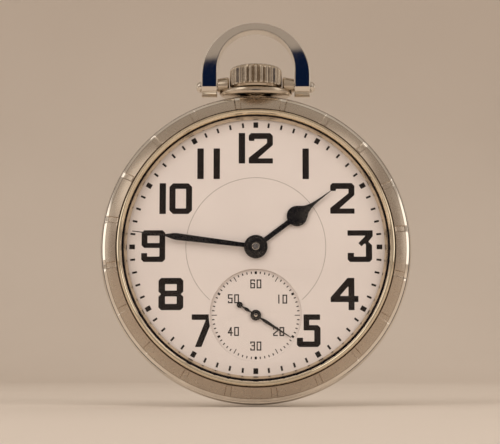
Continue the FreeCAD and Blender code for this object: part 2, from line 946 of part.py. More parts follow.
PILLARS = {
    "barrel_bridge": [(-18.8, 4.3), (9.5, 16.3), (17.3, 8.6)],
    "train_bridge": [(-16.5, -8.5), (-6.0, -17.8), (6.5, -17.6)],
    "balance_cock": [at_bearing(19.5, 104), at_bearing(19.5, 116)],
}
CASE_SCREW_BEARINGS = (75, 255)
CASE_SCREW_DISTANCE = 20.1
DIAL_FEET = [(-15.5, -9.0), (15.8, -8.0)]


def circles(places, radius):
    return [(str(x), str(z), radius) for x, z in places]


def arbor_circle(name, radius):
    return (f"{name}_x", f"{name}_z", radius)


def rim_point(bearing, reach="bridge_r"):
    x, z = at_bearing(1, bearing)
    return (f"{reach} * {x:.5f}", f"{reach} * {z:.5f}")


def rim_arc(start, stop, reach="bridge_r"):
    """Three points of an outline that follow the rim clockwise."""
    half_way = (*rim_point((start + stop) / 2, reach), "through")
    return [rim_point(start, reach), half_way, rim_point(stop, reach)]


def make_plates():
    plate = turned(
        "pillar_plate",
        [
            ("0", "plate_low"),
            ("plate_r", "plate_low"),
            ("plate_r", "plate_rim_high"),
            ("plate_rim_r", "plate_rim_high"),
            ("plate_rim_r", "plate_high"),
            ("0", "plate_high"),
        ],
    )
    every_pillar = [place for places in PILLARS.values() for place in places]
    pad(plate, "dial", "bridge_high", "plate_low", circles(every_pillar, "pillar_r"))
    posts = [
        arbor_circle("minute", "0.4"),
        arbor_circle("setting", "1.0"),
        arbor_circle("setting_lever", "0.42"),
        arbor_circle("clutch_lever", "0.37"),
    ]
    pad(plate, "dial", "plate_high", "plate_high + 0.7", posts)
    cut(plate, "dial", "bridge_high - 1", "bridge_high + 1.6", circles(every_pillar, "screw_r"))
    jewelled = ("third", "fourth", "escape", "pallet", "balance")
    case_screws = [at_bearing(CASE_SCREW_DISTANCE, b) for b in CASE_SCREW_BEARINGS]
    cut(
        plate,
        "dial",
        "plate_low - 1",
        "plate_high + 1",
        [
            *[arbor_circle(name, "jewel_r") for name in jewelled],
            ("0", "0", "0.5"),
            arbor_circle("barrel", "0.65"),
            *circles(DIAL_FEET, "dial_foot_r + 0.02"),
            rectangle("-2.25", "11.8", "2.25", "17.8"),
        ],
    )
    cut(plate, "dial", "plate_low - 1", "plate_high - 1", circles(case_screws, "0.5"))
    cut(plate, "top", "17", "plate_r + 1", [("0", "-stem_depth", "sleeve_bore_r")])
    cut(
        plate,
        "dial",
        "plate_high",
        "plate_rim_high + 1",
        [
            [
                rim_point(40, "20.2"),
                rim_point(40, "22.2"),
                rim_point(58, "22.2"),
                rim_point(58, "20.2"),
            ]
        ],
    )
    keep(plate, "pillar_plate")

    bridge = new_body("barrel_bridge")
    pad(
        bridge,
        "dial",
        "bridge_low",
        "bridge_high",
        [
            [
                *rim_arc(276, 430),
                ("7.6", "5.6"),
                ("3.2", "1.6"),
                ("2.4", "-1.6"),
                ("-2.4", "-1.6"),
                ("-8.0", "0.8"),
            ],
            ("0", "0", "0.34"),
            arbor_circle("barrel", "0.62"),
            arbor_circle("crown_wheel", "3.3"),
            *circles(PILLARS["barrel_bridge"], "screw_r + 0.02"),
        ],
    )
    # a boss on a cross bar carries the crown wheel over the winding pinion
    pad(
        bridge,
        "dial",
        "bridge_low",
        "bridge_low + 0.5",
        [
            [
                ("-3.32", "crown_wheel_z - 0.9"),
                ("3.32", "crown_wheel_z - 0.9"),
                ("3.32", "crown_wheel_z + 0.9"),
                ("-3.32", "crown_wheel_z + 0.9"),
            ]
        ],
    )
    pad(bridge, "dial", "bridge_low - ratchet_rise", "bridge_low", [arbor_circle("crown_wheel", "1.0")])
    pad(bridge, "dial", "bridge_low - ratchet_rise", "bridge_low", [arbor_circle("click", "0.4")])
    cut(bridge, "dial", "bridge_low - 1", "bridge_low + 0.4", [arbor_circle("crown_wheel", "screw_r")])
    keep(bridge, "barrel_bridge")

    bridge = new_body("train_bridge")
    pad(
        bridge,
        "dial",
        "bridge_low",
        "bridge_high",
        [
            [
                *rim_arc(150, 268),
                ("-8.6", "-1.4"),
                ("-3.2", "-3.6"),
                ("1.6", "-7.6"),
                ("6.2", "-9.6"),
                ("7.6", "-12.6"),
            ],
            *[arbor_circle(name, "jewel_r") for name in ("third", "fourth", "escape")],
            *circles(PILLARS["train_bridge"], "screw_r + 0.02"),
        ],
    )
    keep(bridge, "train_bridge")

    cock = new_body("balance_cock")
    pad(
        cock,
        "dial",
        "bridge_low",
        "bridge_high",
        [
            [
                *rim_arc(99, 121),
                ("balance_x + 1.2", "balance_z - 2.7"),
                ("balance_x - 2.9", "balance_z + 0.6", "through"),
                ("balance_x + 2.0", "balance_z + 2.5"),
            ],
            arbor_circle("balance", "jewel_r"),
            *circles(PILLARS["balance_cock"], "screw_r + 0.02"),
        ],
    )
    keep(cock, "balance_cock")

    bridge = new_body("pallet_bridge")
    pad(
        bridge,
        "dial",
        "pallet_bridge_low",
        "pallet_bridge_high",
        [
            [
                ("pallet_x - 1.0", "pallet_z - 0.4"),
                ("pallet_x - 0.9", "pallet_z + 1.0", "through"),
                ("pallet_x + 0.5", "pallet_z + 1.0"),
                ("pallet_x + 4.2", "pallet_z - 1.2"),
                ("pallet_x + 4.6", "pallet_z - 2.6", "through"),
                ("pallet_x + 3.4", "pallet_z - 3.0"),
            ],
            arbor_circle("pallet", "0.5"),
        ],
    )
    pad(bridge, "dial", "pallet_bridge_high", "plate_low", [("pallet_x + 3.7", "pallet_z - 2.0", "0.8")])
    keep(bridge, "pallet_bridge")


# ---- dial and hands --------------------------------------------------------------------------------


def make_dial():
    dial = new_body("dial")
    pad(
        dial,
        "dial",
        "dial_low",
        "dial_high",
        [("0", "0", "dial_r"), ("0", "0", "dial_bore_r"), arbor_circle("fourth", "seconds_opening_r")],
    )
    pad(dial, "dial", "dial_foot_low", "dial_low", circles(DIAL_FEET, "dial_foot_r"))
    keep(dial, "dial")
    seconds = new_body("seconds_dial")
    pad(
        seconds,
        "dial",
        "seconds_dial_low",
        "dial_low",
        [("0", "0", "seconds_dial_r"), ("0", "0", "seconds_bore_r")],
    )
    stand_at(seconds, "fourth")
    keep(seconds, "seconds_dial")


def mirrored_outline(tip, side):
    """A hand's outline, from its tip down one side and back up the other."""
    left = [(f"-({p[0]})", *p[1:]) for p in reversed(side)]
    return [tip, *side, *left]


def make_hands():
    hour = new_body("hour_hand")
    outline = mirrored_outline(
        ("0", "hour_hand_length"),
        [
            ("0.42", "hour_bulb_at + 3.4", "through"),
            ("1.2", "hour_bulb_at + 1.2"),
            ("hour_bulb_r", "hour_bulb_at", "through"),
            ("0.4", "hour_bulb_at - 1.62"),
            ("0.4", "1.7"),
        ],
    )
    low, high = "hour_hand_low", "hour_hand_low + hand_thick"
    pad(hour, "dial", low, high, [outline])
    pad(hour, "dial", low, high, [("0", "0", "hand_hub_r")])
    cut(hour, "dial", "hour_hand_low - 1", "hour_hand_low + 1", [("0", "0", "hour_pipe_r")])
    stand_at(hour, ("0", "0"), SIZES["hour_hand_angle"])
    keep(hour, "hour_hand")

    minute = new_body("minute_hand")
    outline = [
        ("0.1", "minute_hand_length"),
        ("0.14", "15.2"),
        ("0.57", "13.3"),
        ("0.35", "1.3"),
        ("-0.35", "1.3"),
        ("-0.57", "13.3"),
        ("-0.14", "15.2"),
        ("-0.1", "minute_hand_length"),
    ]
    low, high = "minute_hand_low", "minute_hand_low + hand_thick"
    pad(minute, "dial", low, high, [outline])
    pad(minute, "dial", low, "minute_hand_low + 0.3", [("0", "0", "1.5")])
    cut(minute, "dial", "minute_hand_low - 1", "minute_hand_low + 1", [("0", "0", "cannon_r")])
    stand_at(minute, ("0", "0"), SIZES["minute_hand_angle"])
    keep(minute, "minute_hand")

    seconds = new_body("seconds_hand")
    outline = [
        ("0.06", "seconds_hand_length"),
        ("0.25", "1.6"),
        ("0.12", "0.7"),
        ("0.12", "-0.7"),
        ("0.25", "-1.7", "through"),
        ("0.12", "-2.7"),
        ("-0.12", "-2.7"),
        ("-0.25", "-1.7", "through"),
        ("-0.12", "-0.7"),
        ("-0.12", "0.7"),
        ("-0.25", "1.6"),
        ("-0.06", "seconds_hand_length"),
    ]
    low, high = "seconds_hand_low", "seconds_hand_low + 0.1"
    pad(seconds, "dial", low, high, [outline])
    pad(seconds, "dial", low, high, [("0", "-3.13", "0.5")])
    pad(seconds, "dial", low, high, [("0", "0", "seconds_hub_r")])
    cut(seconds, "dial", "seconds_hand_low - 1", "seconds_hand_low + 1", [("0", "0", "0.2")])
    stand_at(seconds, "fourth", SIZES["seconds_hand_angle"])
    keep(seconds, "seconds_hand")


# ---- trains ----------------------------------------------------------------------------------------


def make_wheel(label, place, phase, gear, low, high, bore, arms=5, rim=0.75, hub=1.3, arm_width=0.7):
    """A wheel in mesh at its phase, from its (teeth, module), with openings between its arms."""
    teeth, module = gear
    root = (number(teeth) / 2 - TOOTH_ROOT) * number(module)
    wheel = new_body(label)
    openings = windows(arms, hub, root - rim, arm_width) if arms else []
    pad(wheel, "dial", low, high, [gear_edges(teeth, module), *openings, ("0", "0", bore)])
    stand_at(wheel, place, phase)
    return wheel


def make_pinion(label, place, phase, gear, low, high, shaft):
    """Pinion leaves on an arbor, from their (teeth, module) and the arbor's (radius, low, high) steps."""
    pinion = turned(label, stepped(*shaft))
    pad(pinion, "dial", low, high, [gear_edges(*gear)])
    stand_at(pinion, place, phase)
    return keep(pinion, label)


def going_train():
    """Wheels and pinions from the barrel to the escapement, each in mesh with the next."""
    between = {}
    for first, second in (
        ("barrel", "centre"),
        ("centre", "third"),
        ("third", "fourth"),
        ("fourth", "escape"),
        ("centre", "minute"),
        ("minute", "setting"),
        ("crown_wheel", "barrel"),
    ):
        a, b = PLACES[first], PLACES[second]
        between[first, second] = bearing_of(b[0] - a[0], b[1] - a[1])
    phases = {
        "centre_pinion": meshing_phase(
            0, SIZES["barrel_teeth"], between["barrel", "centre"], SIZES["centre_pinion_teeth"]
        ),
        "third_pinion": meshing_phase(
            0, SIZES["centre_teeth"], between["centre", "third"], SIZES["third_pinion_teeth"]
        ),
        "fourth_pinion": meshing_phase(
            0, SIZES["third_teeth"], between["third", "fourth"], SIZES["fourth_pinion_teeth"]
        ),
        "escape_pinion": meshing_phase(
            0, SIZES["fourth_teeth"], between["fourth", "escape"], SIZES["escape_pinion_teeth"]
        ),
        "minute_wheel": meshing_phase(
            0, SIZES["cannon_teeth"], between["centre", "minute"], SIZES["minute_teeth"]
        ),
        "ratchet": meshing_phase(
            0, SIZES["crown_wheel_teeth"], between["crown_wheel", "barrel"], SIZES["ratchet_teeth"]
        ),
    }
    phases["setting"] = meshing_phase(
        phases["minute_wheel"], SIZES["minute_teeth"], between["minute", "setting"], SIZES["setting_teeth"]
    )
    phases["hour_wheel"] = meshing_phase(
        0, SIZES["minute_pinion_teeth"], between["centre", "minute"] + 180, SIZES["hour_teeth"]
    )
    return phases


def make_train(phases):
    barrel = turned(
        "barrel",
        [
            ("barrel_bore_r", "barrel_high - 0.25"),
            ("barrel_r - barrel_wall", "barrel_high - 0.25"),
            ("barrel_r - barrel_wall", "barrel_low"),
            ("barrel_r", "barrel_low"),
            ("barrel_r", "barrel_high"),
            ("barrel_bore_r", "barrel_high"),
        ],
    )
    pad(
        barrel,
        "dial",
        "barrel_high - 0.55",
        "barrel_high",
        [gear_edges("barrel_teeth", "barrel_module"), ("0", "0", "barrel_r - 0.1")],
    )
    stand_at(barrel, "barrel")
    keep(barrel, "barrel")
    cover = turned(
        "barrel_cover", tube("barrel_bore_r", "barrel_r - barrel_wall", "barrel_low", "barrel_low + 0.2")
    )
    stand_at(cover, "barrel")
    keep(cover, "barrel_cover")
    arbor = turned(
        "barrel_arbor",
        stepped(
            ("centre_arbor_r", "bridge_low - 0.8", "bridge_low"),
            ("0.58", "bridge_low", "bridge_high + 0.1"),
            ("0.7", "bridge_high + 0.1", "barrel_low + 0.25"),
            ("1.5", "barrel_low + 0.25", "barrel_high - 0.3"),
            ("0.7", "barrel_high - 0.3", "plate_low - 0.1"),
            ("0.58", "plate_low - 0.1", "plate_high - 0.6"),
        ),
    )
    stand_at(arbor, "barrel")
    keep(arbor, "barrel_arbor")
    spring = new_body("mainspring")
    coil = spiral_edges(1.6, SIZES["barrel_r"] - 0.6, SIZES["mainspring_turns"], 0.18)
    pad(spring, "dial", "barrel_low + 0.3", "barrel_high - 0.35", [coil])
    stand_at(spring, "barrel")
    keep(spring, "mainspring")

    wheel = make_wheel(
        "center_wheel",
        "centre",
        0,
        ("centre_teeth", "centre_module"),
        "centre_wheel_low",
        "centre_wheel_high",
        "centre_arbor_r",
    )
    keep(wheel, "center_wheel")
    make_pinion(
        "center_pinion",
        "centre",
        phases["centre_pinion"],
        ("centre_pinion_teeth", "barrel_module"),
        "centre_pinion_low",
        "centre_pinion_high",
        [
            ("arbor_r", "bridge_low + 0.1", "bridge_high + 0.05"),
            ("centre_arbor_r", "bridge_high + 0.05", "minute_hand_low + 0.45"),
        ],
    )
    wheel = make_wheel(
        "third_wheel",
        "third",
        0,
        ("third_teeth", "third_module"),
        "third_wheel_low",
        "third_wheel_high",
        "arbor_r",
        rim=0.6,
        hub=1.0,
    )
    keep(wheel, "third_wheel")
    make_pinion(
        "third_pinion",
        "third",
        phases["third_pinion"],
        ("third_pinion_teeth", "centre_module"),
        "third_pinion_low",
        "third_pinion_high",
        [
            ("pivot_r", "bridge_high - jewel_thick", "bridge_high + 0.05"),
            ("arbor_r", "bridge_high + 0.05", "plate_low - 0.05"),
            ("pivot_r", "plate_low - 0.05", "plate_low + jewel_thick"),
        ],
    )
    wheel = make_wheel(
        "fourth_wheel",
        "fourth",
        0,
        ("fourth_teeth", "fourth_module"),
        "fourth_wheel_low",
        "fourth_wheel_high",
        "arbor_r",
        rim=0.5,
        hub=0.9,
    )
    keep(wheel, "fourth_wheel")
    make_pinion(
        "fourth_pinion",
        "fourth",
        phases["fourth_pinion"],
        ("fourth_pinion_teeth", "third_module"),
        "fourth_pinion_low",
        "fourth_pinion_high",
        [
            ("pivot_r", "bridge_high - jewel_thick", "bridge_high + 0.05"),
            ("arbor_r", "bridge_high + 0.05", "plate_low - 0.05"),
            ("0.2", "plate_low - 0.05", "seconds_hand_low + 0.14"),
        ],
    )
    escape = new_body("escape_wheel")
    reach = SIZES["escape_r"]
    pad(
        escape,
        "dial",
        "escape_wheel_low",
        "escape_wheel_high",
        [
            escape_edges(SIZES["escape_teeth"], reach - 0.75, reach),
            *windows(4, 0.75, reach - 1.15, 0.45),
            ("0", "0", "arbor_r - 0.05"),
        ],
    )
    stand_at(escape, "escape", 4)
    keep(escape, "escape_wheel")
    make_pinion(
        "escape_pinion",
        "escape",
        phases["escape_pinion"],
        ("escape_pinion_teeth", "fourth_module"),
        "escape_pinion_low",
        "escape_pinion_high",
        [
            ("pivot_r", "bridge_high - jewel_thick", "bridge_high + 0.05"),
            ("arbor_r - 0.05", "bridge_high + 0.05", "plate_low - 0.05"),
            ("pivot_r", "plate_low - 0.05", "plate_low + jewel_thick"),
        ],
    )


def escape_edges(teeth, root_r, tip_r):
    """Club teeth: each leans forward and ends in a short flat."""
    corners = []
    for tooth in range(int(teeth)):
        for radius, share in ((root_r, 0.0), (tip_r - 0.12, 0.34), (tip_r, 0.5), (root_r, 0.42)):
            corners.append(FreeCAD.Vector(*at_bearing(radius, (tooth + share) * 360 / teeth), 0))
    return [Part.LineSegment(a, b) for a, b in zip(corners, corners[1:] + corners[:1])]


def make_motion_work(phases):
    pipe = tube("centre_arbor_r", "cannon_r", "cannon_leaves_high", "minute_hand_low + 0.36")
    cannon = turned("cannon_pinion", pipe)
    pad(
        cannon,
        "dial",
        "motion_low",
        "cannon_leaves_high",
        [gear_edges("cannon_teeth", "motion_module"), ("0", "0", "centre_arbor_r")],
    )
    keep(cannon, "cannon_pinion")

    minute = make_wheel(
        "minute_wheel",
        "minute",
        phases["minute_wheel"],
        ("minute_teeth", "motion_module"),
        "motion_low",
        "motion_high",
        "0.43",
        arms=0,
    )
    leaves = []
    for edge in gear_edges("minute_pinion_teeth", "motion_module"):
        ends = [
            FreeCAD.Vector(*turned_point((p.x, p.y), -phases["minute_wheel"]), 0)
            for p in (edge.StartPoint, edge.EndPoint)
        ]
        leaves.append(Part.LineSegment(*ends))
    pad(minute, "dial", "motion_high", "hour_wheel_high", [leaves, ("0", "0", "0.41")])
    keep(minute, "minute_wheel")

    pipe = tube("hour_pipe_bore_r", "hour_pipe_r", "hour_wheel_low", "hour_hand_low + 0.2")
    hour = turned("hour_wheel", pipe)
    pad(
        hour,
        "dial",
        "hour_wheel_low",
        "hour_wheel_high",
        [gear_edges("hour_teeth", "motion_module"), ("0", "0", "hour_pipe_bore_r")],
    )
    stand_at(hour, "centre", phases["hour_wheel"])
    keep(hour, "hour_wheel")

    wheel = make_wheel(
        "setting_wheel",
        "setting",
        phases["setting"],
        ("setting_teeth", "motion_module"),
        "motion_low",
        "motion_high",
        "1.04",
        arms=0,
    )
    keep(wheel, "setting_wheel")


def turned_point(point, bearing):
    """A point turned clockwise about the origin."""
    turn = math.radians(bearing)
    x, z = point
    return x * math.cos(turn) + z * math.sin(turn), z * math.cos(turn) - x * math.sin(turn)


def make_keyless_work(phases):
    low, high = "bridge_low - ratchet_rise", "bridge_low - ratchet_gap"
    both_teeth = SIZES["crown_wheel_teeth"] + SIZES["ratchet_teeth"]
    module = math.dist(PLACES["crown_wheel"], PLACES["barrel"]) * 2 / both_teeth
    for label, teeth, place, phase, bore in (
        ("ratchet_wheel", "ratchet_teeth", "barrel", phases["ratchet"], "centre_arbor_r"),
        ("crown_wheel", "crown_wheel_teeth", "crown_wheel", 0, "1.05"),
    ):
        body = new_body(label)
        count = SIZES[teeth]
        edges = toothed_edges(count, (count / 2 - TOOTH_ROOT) * module, (count / 2 + TOOTH_TIP) * module)
        pad(body, "dial", low, high, [edges, ("0", "0", bore)])
        stand_at(body, place, phase)
        keep(body, label)

    click = new_body("click")
    pad(
        click,
        "dial",
        low,
        high,
        [
            [
                ("0.3", "0.95"),
                ("-1.0", "0", "through"),
                ("0.3", "-0.95"),
                ("2.8", "-0.55"),
                ("3.05", "-0.5"),
                ("2.6", "0.35"),
            ],
            ("0", "0", "0.43"),
        ],
    )
    stand_at(click, "click")
    keep(click, "click")
    spring = new_body("click_spring")
    pad(
        spring,
        "dial",
        low,
        high,
        [
            [
                ("-6.6", "16.1"),
                ("-7.4", "17.1"),
                ("-8.2", "16.8"),
                ("-11.1", "13.8"),
                ("-11.0", "13.62"),
                ("-7.6", "15.9"),
            ]
        ],
    )
    keep(spring, "click_spring")

    lever = new_body("setting_lever")
    pad(
        lever,
        "dial",
        "setting_lever_low",
        "setting_lever_high",
        [
            [
                ("4.3", "15.2"),
                ("4.8", "14.4", "through"),
                ("5.6", "14.2"),
                ("14.6", "12.3"),
                ("15.6", "12.2"),
                ("15.75", "12.9"),
                ("14.6", "13.4"),
                ("6.0", "16.0"),
                ("5.0", "16.2", "through"),
            ],
            arbor_circle("setting_lever", "0.45"),
        ],
    )
    keep(lever, "setting_lever")

    yoke = new_body("clutch_lever")
    pad(
        yoke,
        "dial",
        "clutch_lever_low",
        "clutch_lever_high",
        [
            [
                ("6.9", "12.9"),
                ("6.2", "12.2", "through"),
                ("5.4", "12.5"),
                ("0.2", "14.1"),
                ("-0.1", "14.5", "through"),
                ("0.3", "14.9"),
                ("6.3", "13.6"),
            ],
            arbor_circle("clutch_lever", "0.4"),
        ],
    )
    pad(yoke, "dial", "clutch_pin_low", "clutch_lever_low", [("0.3", "14.48", "0.2")])
    keep(yoke, "clutch_lever")


# ---- escapement and balance ------------------------------------------------------------------------


def strip_along(bearing, near, far, half_width):
    """The corners of a strip that points along a bearing, between two distances."""
    ux, uz = at_bearing(1, bearing)
    corners = []
    for along, across in ((near, -1), (far, -1), (far, 1), (near, 1)):
        off = across * half_width
        corners.append((str(ux * along - uz * off), str(uz * along + ux * off)))
    return corners


def make_escapement():
    """Lever, its arbor and stones, drawn with the balance straight above the lever's arbor."""
    px, pz = PLACES["pallet"]
    towards_balance = bearing_of(PLACES["balance"][0] - px, PLACES["balance"][1] - pz)
    towards_escape = bearing_of(PLACES["escape"][0] - px, PLACES["escape"][1] - pz)
    fork = new_body("pallet_fork")
    reach = "(pallet_to_balance - 1.5)"
    pad(
        fork,
        "dial",
        "fork_low",
        "fork_high",
        [
            [
                ("-0.3", reach),
                ("-0.16", reach),
                ("-0.16", f"{reach} - 0.5"),
                ("0.16", f"{reach} - 0.5"),
                ("0.16", reach),
                ("0.3", reach),
                ("0.42", f"{reach} - 0.8"),
                ("0.16", f"{reach} - 1.2"),
                ("0.16", "0.3"),
                ("-0.16", "0.3"),
                ("-0.16", f"{reach} - 1.2"),
                ("-0.42", f"{reach} - 0.8"),
            ]
        ],
    )
    across = towards_escape - towards_balance
    bearings = [across + side * SIZES["stone_spread"] for side in (-1, 1)]
    stone_at, wide = SIZES["stone_reach"], SIZES["stone_half_width"]
    for bearing in bearings:
        pad(fork, "dial", "fork_low", "fork_high", [strip_along(bearing, 0, stone_at, wide)])
    pad(fork, "dial", "fork_low", "fork_high", [("0", "0", "0.4")])
    cut(fork, "dial", "fork_low - 0.3", "fork_high + 0.3", [("0", "0", "0.2")])
    stand_at(fork, "pallet", towards_balance)
    keep(fork, "pallet_fork")

    arbor = turned(
        "pallet_arbor",
        stepped(
            ("pivot_r", "pallet_bridge_low + 0.05", "pallet_bridge_high + 0.03"),
            ("0.2", "pallet_bridge_high + 0.03", "plate_low - 0.05"),
            ("pivot_r", "plate_low - 0.05", "plate_low + jewel_thick"),
        ),
    )
    stand_at(arbor, "pallet")
    keep(arbor, "pallet_arbor")

    jewels = new_body("pallet_stones")
    stone_end = stone_at + SIZES["stone_length"]
    loops = [strip_along(bearing, stone_at, stone_end, wide) for bearing in bearings]
    pad(jewels, "dial", "fork_low - 0.05", "fork_high + 0.05", loops)
    stand_at(jewels, "pallet", towards_balance)
    keep(jewels, "pallet_stones")


def make_balance():
    outer = "balance_r"
    inner = "(balance_r - balance_rim)"
    wheel = new_body("balance_wheel")
    rim = [("0", "0", outer), ("0", "0", inner)]
    pad(wheel, "dial", "balance_low", "balance_high", rim)
    hub = rectangle("-0.35", f"-{inner} - 0.1", "0.35", f"{inner} + 0.1")
    pad(wheel, "dial", "balance_arm_low", "balance_arm_high", [hub])
    pad(wheel, "dial", "balance_arm_low - 0.05", "balance_arm_high + 0.05", [("0", "0", "0.9")])
    cut(wheel, "dial", "balance_low - 0.3", "balance_high + 0.5", [("0", "0", "staff_r")])
    stand_at(wheel, "balance", 30)
    keep(wheel, "balance_wheel")

    screws = []
    for n in range(int(SIZES["balance_screw_count"])):
        bearing = 30 + (n + 0.5) * 360 / SIZES["balance_screw_count"]
        screw = document.addObject("Part::Cylinder", "balance_screw")
        screw.setExpression("Radius", bound("balance_screw_r"))
        screw.setExpression("Height", bound("balance_screw_length"))
        x, z = at_bearing(SIZES["balance_r"], bearing)
        direction = FreeCAD.Vector(x, 0, z)
        base = FreeCAD.Vector(
            PLACES["balance"][0] + x,
            -(SIZES["balance_low"] + SIZES["balance_high"]) / 2,
            PLACES["balance"][1] + z,
        )
        screw.Placement = FreeCAD.Placement(base, FreeCAD.Rotation(FreeCAD.Vector(0, 0, 1), direction))
        screws.append(screw)
    group = document.addObject("Part::Compound", "balance_screws")
    group.Links = screws
    keep(group, "balance_screws")

    staff = turned(
        "balance_staff",
        stepped(
            ("pivot_r", "bridge_high - jewel_thick", "bridge_high + 0.05"),
            ("staff_r", "bridge_high + 0.05", "3.8"),
            ("0.6", "3.8", "balance_low"),
            ("staff_r", "balance_low", "plate_low - 0.05"),
            ("pivot_r", "plate_low - 0.05", "plate_low + jewel_thick"),
        ),
    )
    stand_at(staff, "balance")
    keep(staff, "balance_staff")

    px, pz = PLACES["pallet"]
    bx, bz = PLACES["balance"]
    towards_pallet = bearing_of(px - bx, pz - bz)
    roller = new_body("roller")
    pad(roller, "dial", "roller_low", "roller_high", [("0", "0", "roller_r"), ("0", "0", "staff_r")])
    cut(roller, "dial", "roller_low - 0.3", "roller_high + 0.4", [("0", "impulse_reach", "impulse_r")])
    stand_at(roller, "balance", towards_pallet)
    keep(roller, "roller")
    impulse = new_body("impulse_jewel")
    pad(impulse, "dial", "roller_low", "impulse_high", [("0", "impulse_reach", "impulse_r")])
    stand_at(impulse, "balance", towards_pallet)
    keep(impulse, "impulse_jewel")

    spring = new_body("hairspring")
    coil = spiral_edges(0.625, SIZES["hairspring_r"], SIZES["hairspring_turns"], 0.05)
    pad(spring, "dial", "hairspring_low", "hairspring_high", [coil])
    stand_at(spring, "balance", 200)
    keep(spring, "hairspring")
    stud = new_body("hairspring_stud")
    pad(stud, "dial", "bridge_high", "hairspring_high + 0.05", [("0", "hairspring_r + 0.33", "0.3")])
    stand_at(stud, "balance", 200)
    keep(stud, "hairspring_stud")

    regulator = new_body("regulator")
    low, high = "bridge_low - 0.3", "bridge_low - 0.05"
    pad(regulator, "dial", low, high, [("0", "0", "1.9"), ("0", "0", "1.1")])
    pad(regulator, "dial", low, high, [rectangle("-0.22", "1.8", "0.22", "6.2")])
    stand_at(regulator, "balance", 110)
    keep(regulator, "regulator")


def make_jewels_and_screws():
    jewels = new_body("bearing_jewels")
    upper = [("third", "pivot_bore_r"), ("fourth", "pivot_bore_r"), ("escape", "pivot_bore_r")]
    upper.append(("balance", "pivot_bore_r"))
    lower = [("third", "pivot_bore_r"), ("fourth", "0.24"), ("escape", "pivot_bore_r")]
    lower += [("balance", "pivot_bore_r"), ("pallet", "pivot_bore_r")]
    for low, high, places, outer in (
        ("bridge_high - jewel_thick", "bridge_high", upper, "jewel_r"),
        ("plate_low", "plate_low + jewel_thick", lower, "jewel_r"),
        ("pallet_bridge_low + 0.05", "pallet_bridge_high - 0.03", [("pallet", "pivot_bore_r")], "0.5"),
    ):
        loops = [arbor_circle(name, outer) for name, _ in places]
        loops += [arbor_circle(name, bore) for name, bore in places]
        pad(jewels, "dial", low, high, loops)
    keep(jewels, "bearing_jewels")

    every_pillar = [place for places in PILLARS.values() for place in places]
    screws = new_body("bridge_screws")
    pad(screws, "dial", "bridge_low", "bridge_high + 1.5", circles(every_pillar, "screw_r"))
    top = "bridge_low - screw_head_thick"
    pad(screws, "dial", top, "bridge_low", circles(every_pillar, "screw_head_r"))
    slots = [
        rectangle(f"{x} - 1", f"{z} - 0.09", f"{x} + 1", f"{z} + 0.09") for x, z in every_pillar
    ]
    cut(screws, "dial", f"{top} - 0.1", f"{top} + 0.18", slots)
    keep(screws, "bridge_screws")

    case_screws = [at_bearing(CASE_SCREW_DISTANCE, b) for b in CASE_SCREW_BEARINGS]
    screws = new_body("case_screws")
    pad(screws, "dial", "ledge_low", "plate_high - 1", circles(case_screws, "0.5"))
    pad(screws, "dial", "ledge_low - 0.5", "ledge_low", circles(case_screws, "1.3"))
    keep(screws, "case_screws")

    cap = new_body("crown_wheel_screw")
    top = "bridge_low - ratchet_rise"
    pad(cap, "dial", top, "bridge_low + 0.4", [arbor_circle("crown_wheel", "screw_r")])
    pad(cap, "dial", f"{top} - 0.35", top, [arbor_circle("crown_wheel", "1.5")])
    keep(cap, "crown_wheel_screw")


def check_everything():
    document.recompute()
    for item in document.Objects:
        if "Invalid" in item.State or "Error" in item.State:
            raise RuntimeError(f"{item.Label}: {item.State}")
    labels = [node.Label for node in nodes]
    if len(set(labels)) != len(labels):
        raise RuntimeError("two sub-parts share a name")
    for node in nodes:
        if node.Shape.isNull() or not node.Shape.isValid() or not node.Shape.Solids:
            raise RuntimeError(f"{node.Label} has no valid shape")


def main():
    centre = make_case()
    make_pendant(centre)
    make_bow()
    make_crown_and_stem()
    make_plates()
    make_dial()
    make_hands()
    phases = going_train()
    make_train(phases)
    make_motion_work(phases)
    make_keyless_work(phases)
    make_escapement()
    make_balance()
    make_jewels_and_screws()
    check_everything()
    os.makedirs("parts", exist_ok=True)
    for node in nodes:
        node.Shape.exportStep(f"parts/{node.Label}.step")
    print(len(nodes), "sub-parts")


main()
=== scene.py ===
import json
import math

import bmesh
import bpy
from mathutils import Matrix, Vector


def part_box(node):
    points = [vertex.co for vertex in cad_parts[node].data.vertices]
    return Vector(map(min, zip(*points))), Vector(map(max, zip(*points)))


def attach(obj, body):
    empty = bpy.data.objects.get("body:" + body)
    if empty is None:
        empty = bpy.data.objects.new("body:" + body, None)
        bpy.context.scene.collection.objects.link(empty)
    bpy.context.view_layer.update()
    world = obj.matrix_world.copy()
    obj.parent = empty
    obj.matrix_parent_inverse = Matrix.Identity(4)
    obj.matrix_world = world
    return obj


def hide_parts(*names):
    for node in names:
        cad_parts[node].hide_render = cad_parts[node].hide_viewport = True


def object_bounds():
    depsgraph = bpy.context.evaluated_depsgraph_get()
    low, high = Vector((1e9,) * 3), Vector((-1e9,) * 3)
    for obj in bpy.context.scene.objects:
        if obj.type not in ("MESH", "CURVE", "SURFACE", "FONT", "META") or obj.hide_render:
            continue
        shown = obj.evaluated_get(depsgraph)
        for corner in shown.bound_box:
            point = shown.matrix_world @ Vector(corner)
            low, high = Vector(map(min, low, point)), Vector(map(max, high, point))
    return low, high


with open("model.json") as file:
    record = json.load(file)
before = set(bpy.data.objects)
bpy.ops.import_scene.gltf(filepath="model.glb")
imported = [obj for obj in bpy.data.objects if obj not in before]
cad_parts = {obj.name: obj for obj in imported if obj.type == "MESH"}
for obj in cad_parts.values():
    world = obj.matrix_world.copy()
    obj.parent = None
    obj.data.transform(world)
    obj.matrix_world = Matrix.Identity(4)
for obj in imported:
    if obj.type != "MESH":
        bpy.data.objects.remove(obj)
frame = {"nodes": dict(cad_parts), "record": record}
cad_low, cad_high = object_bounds()

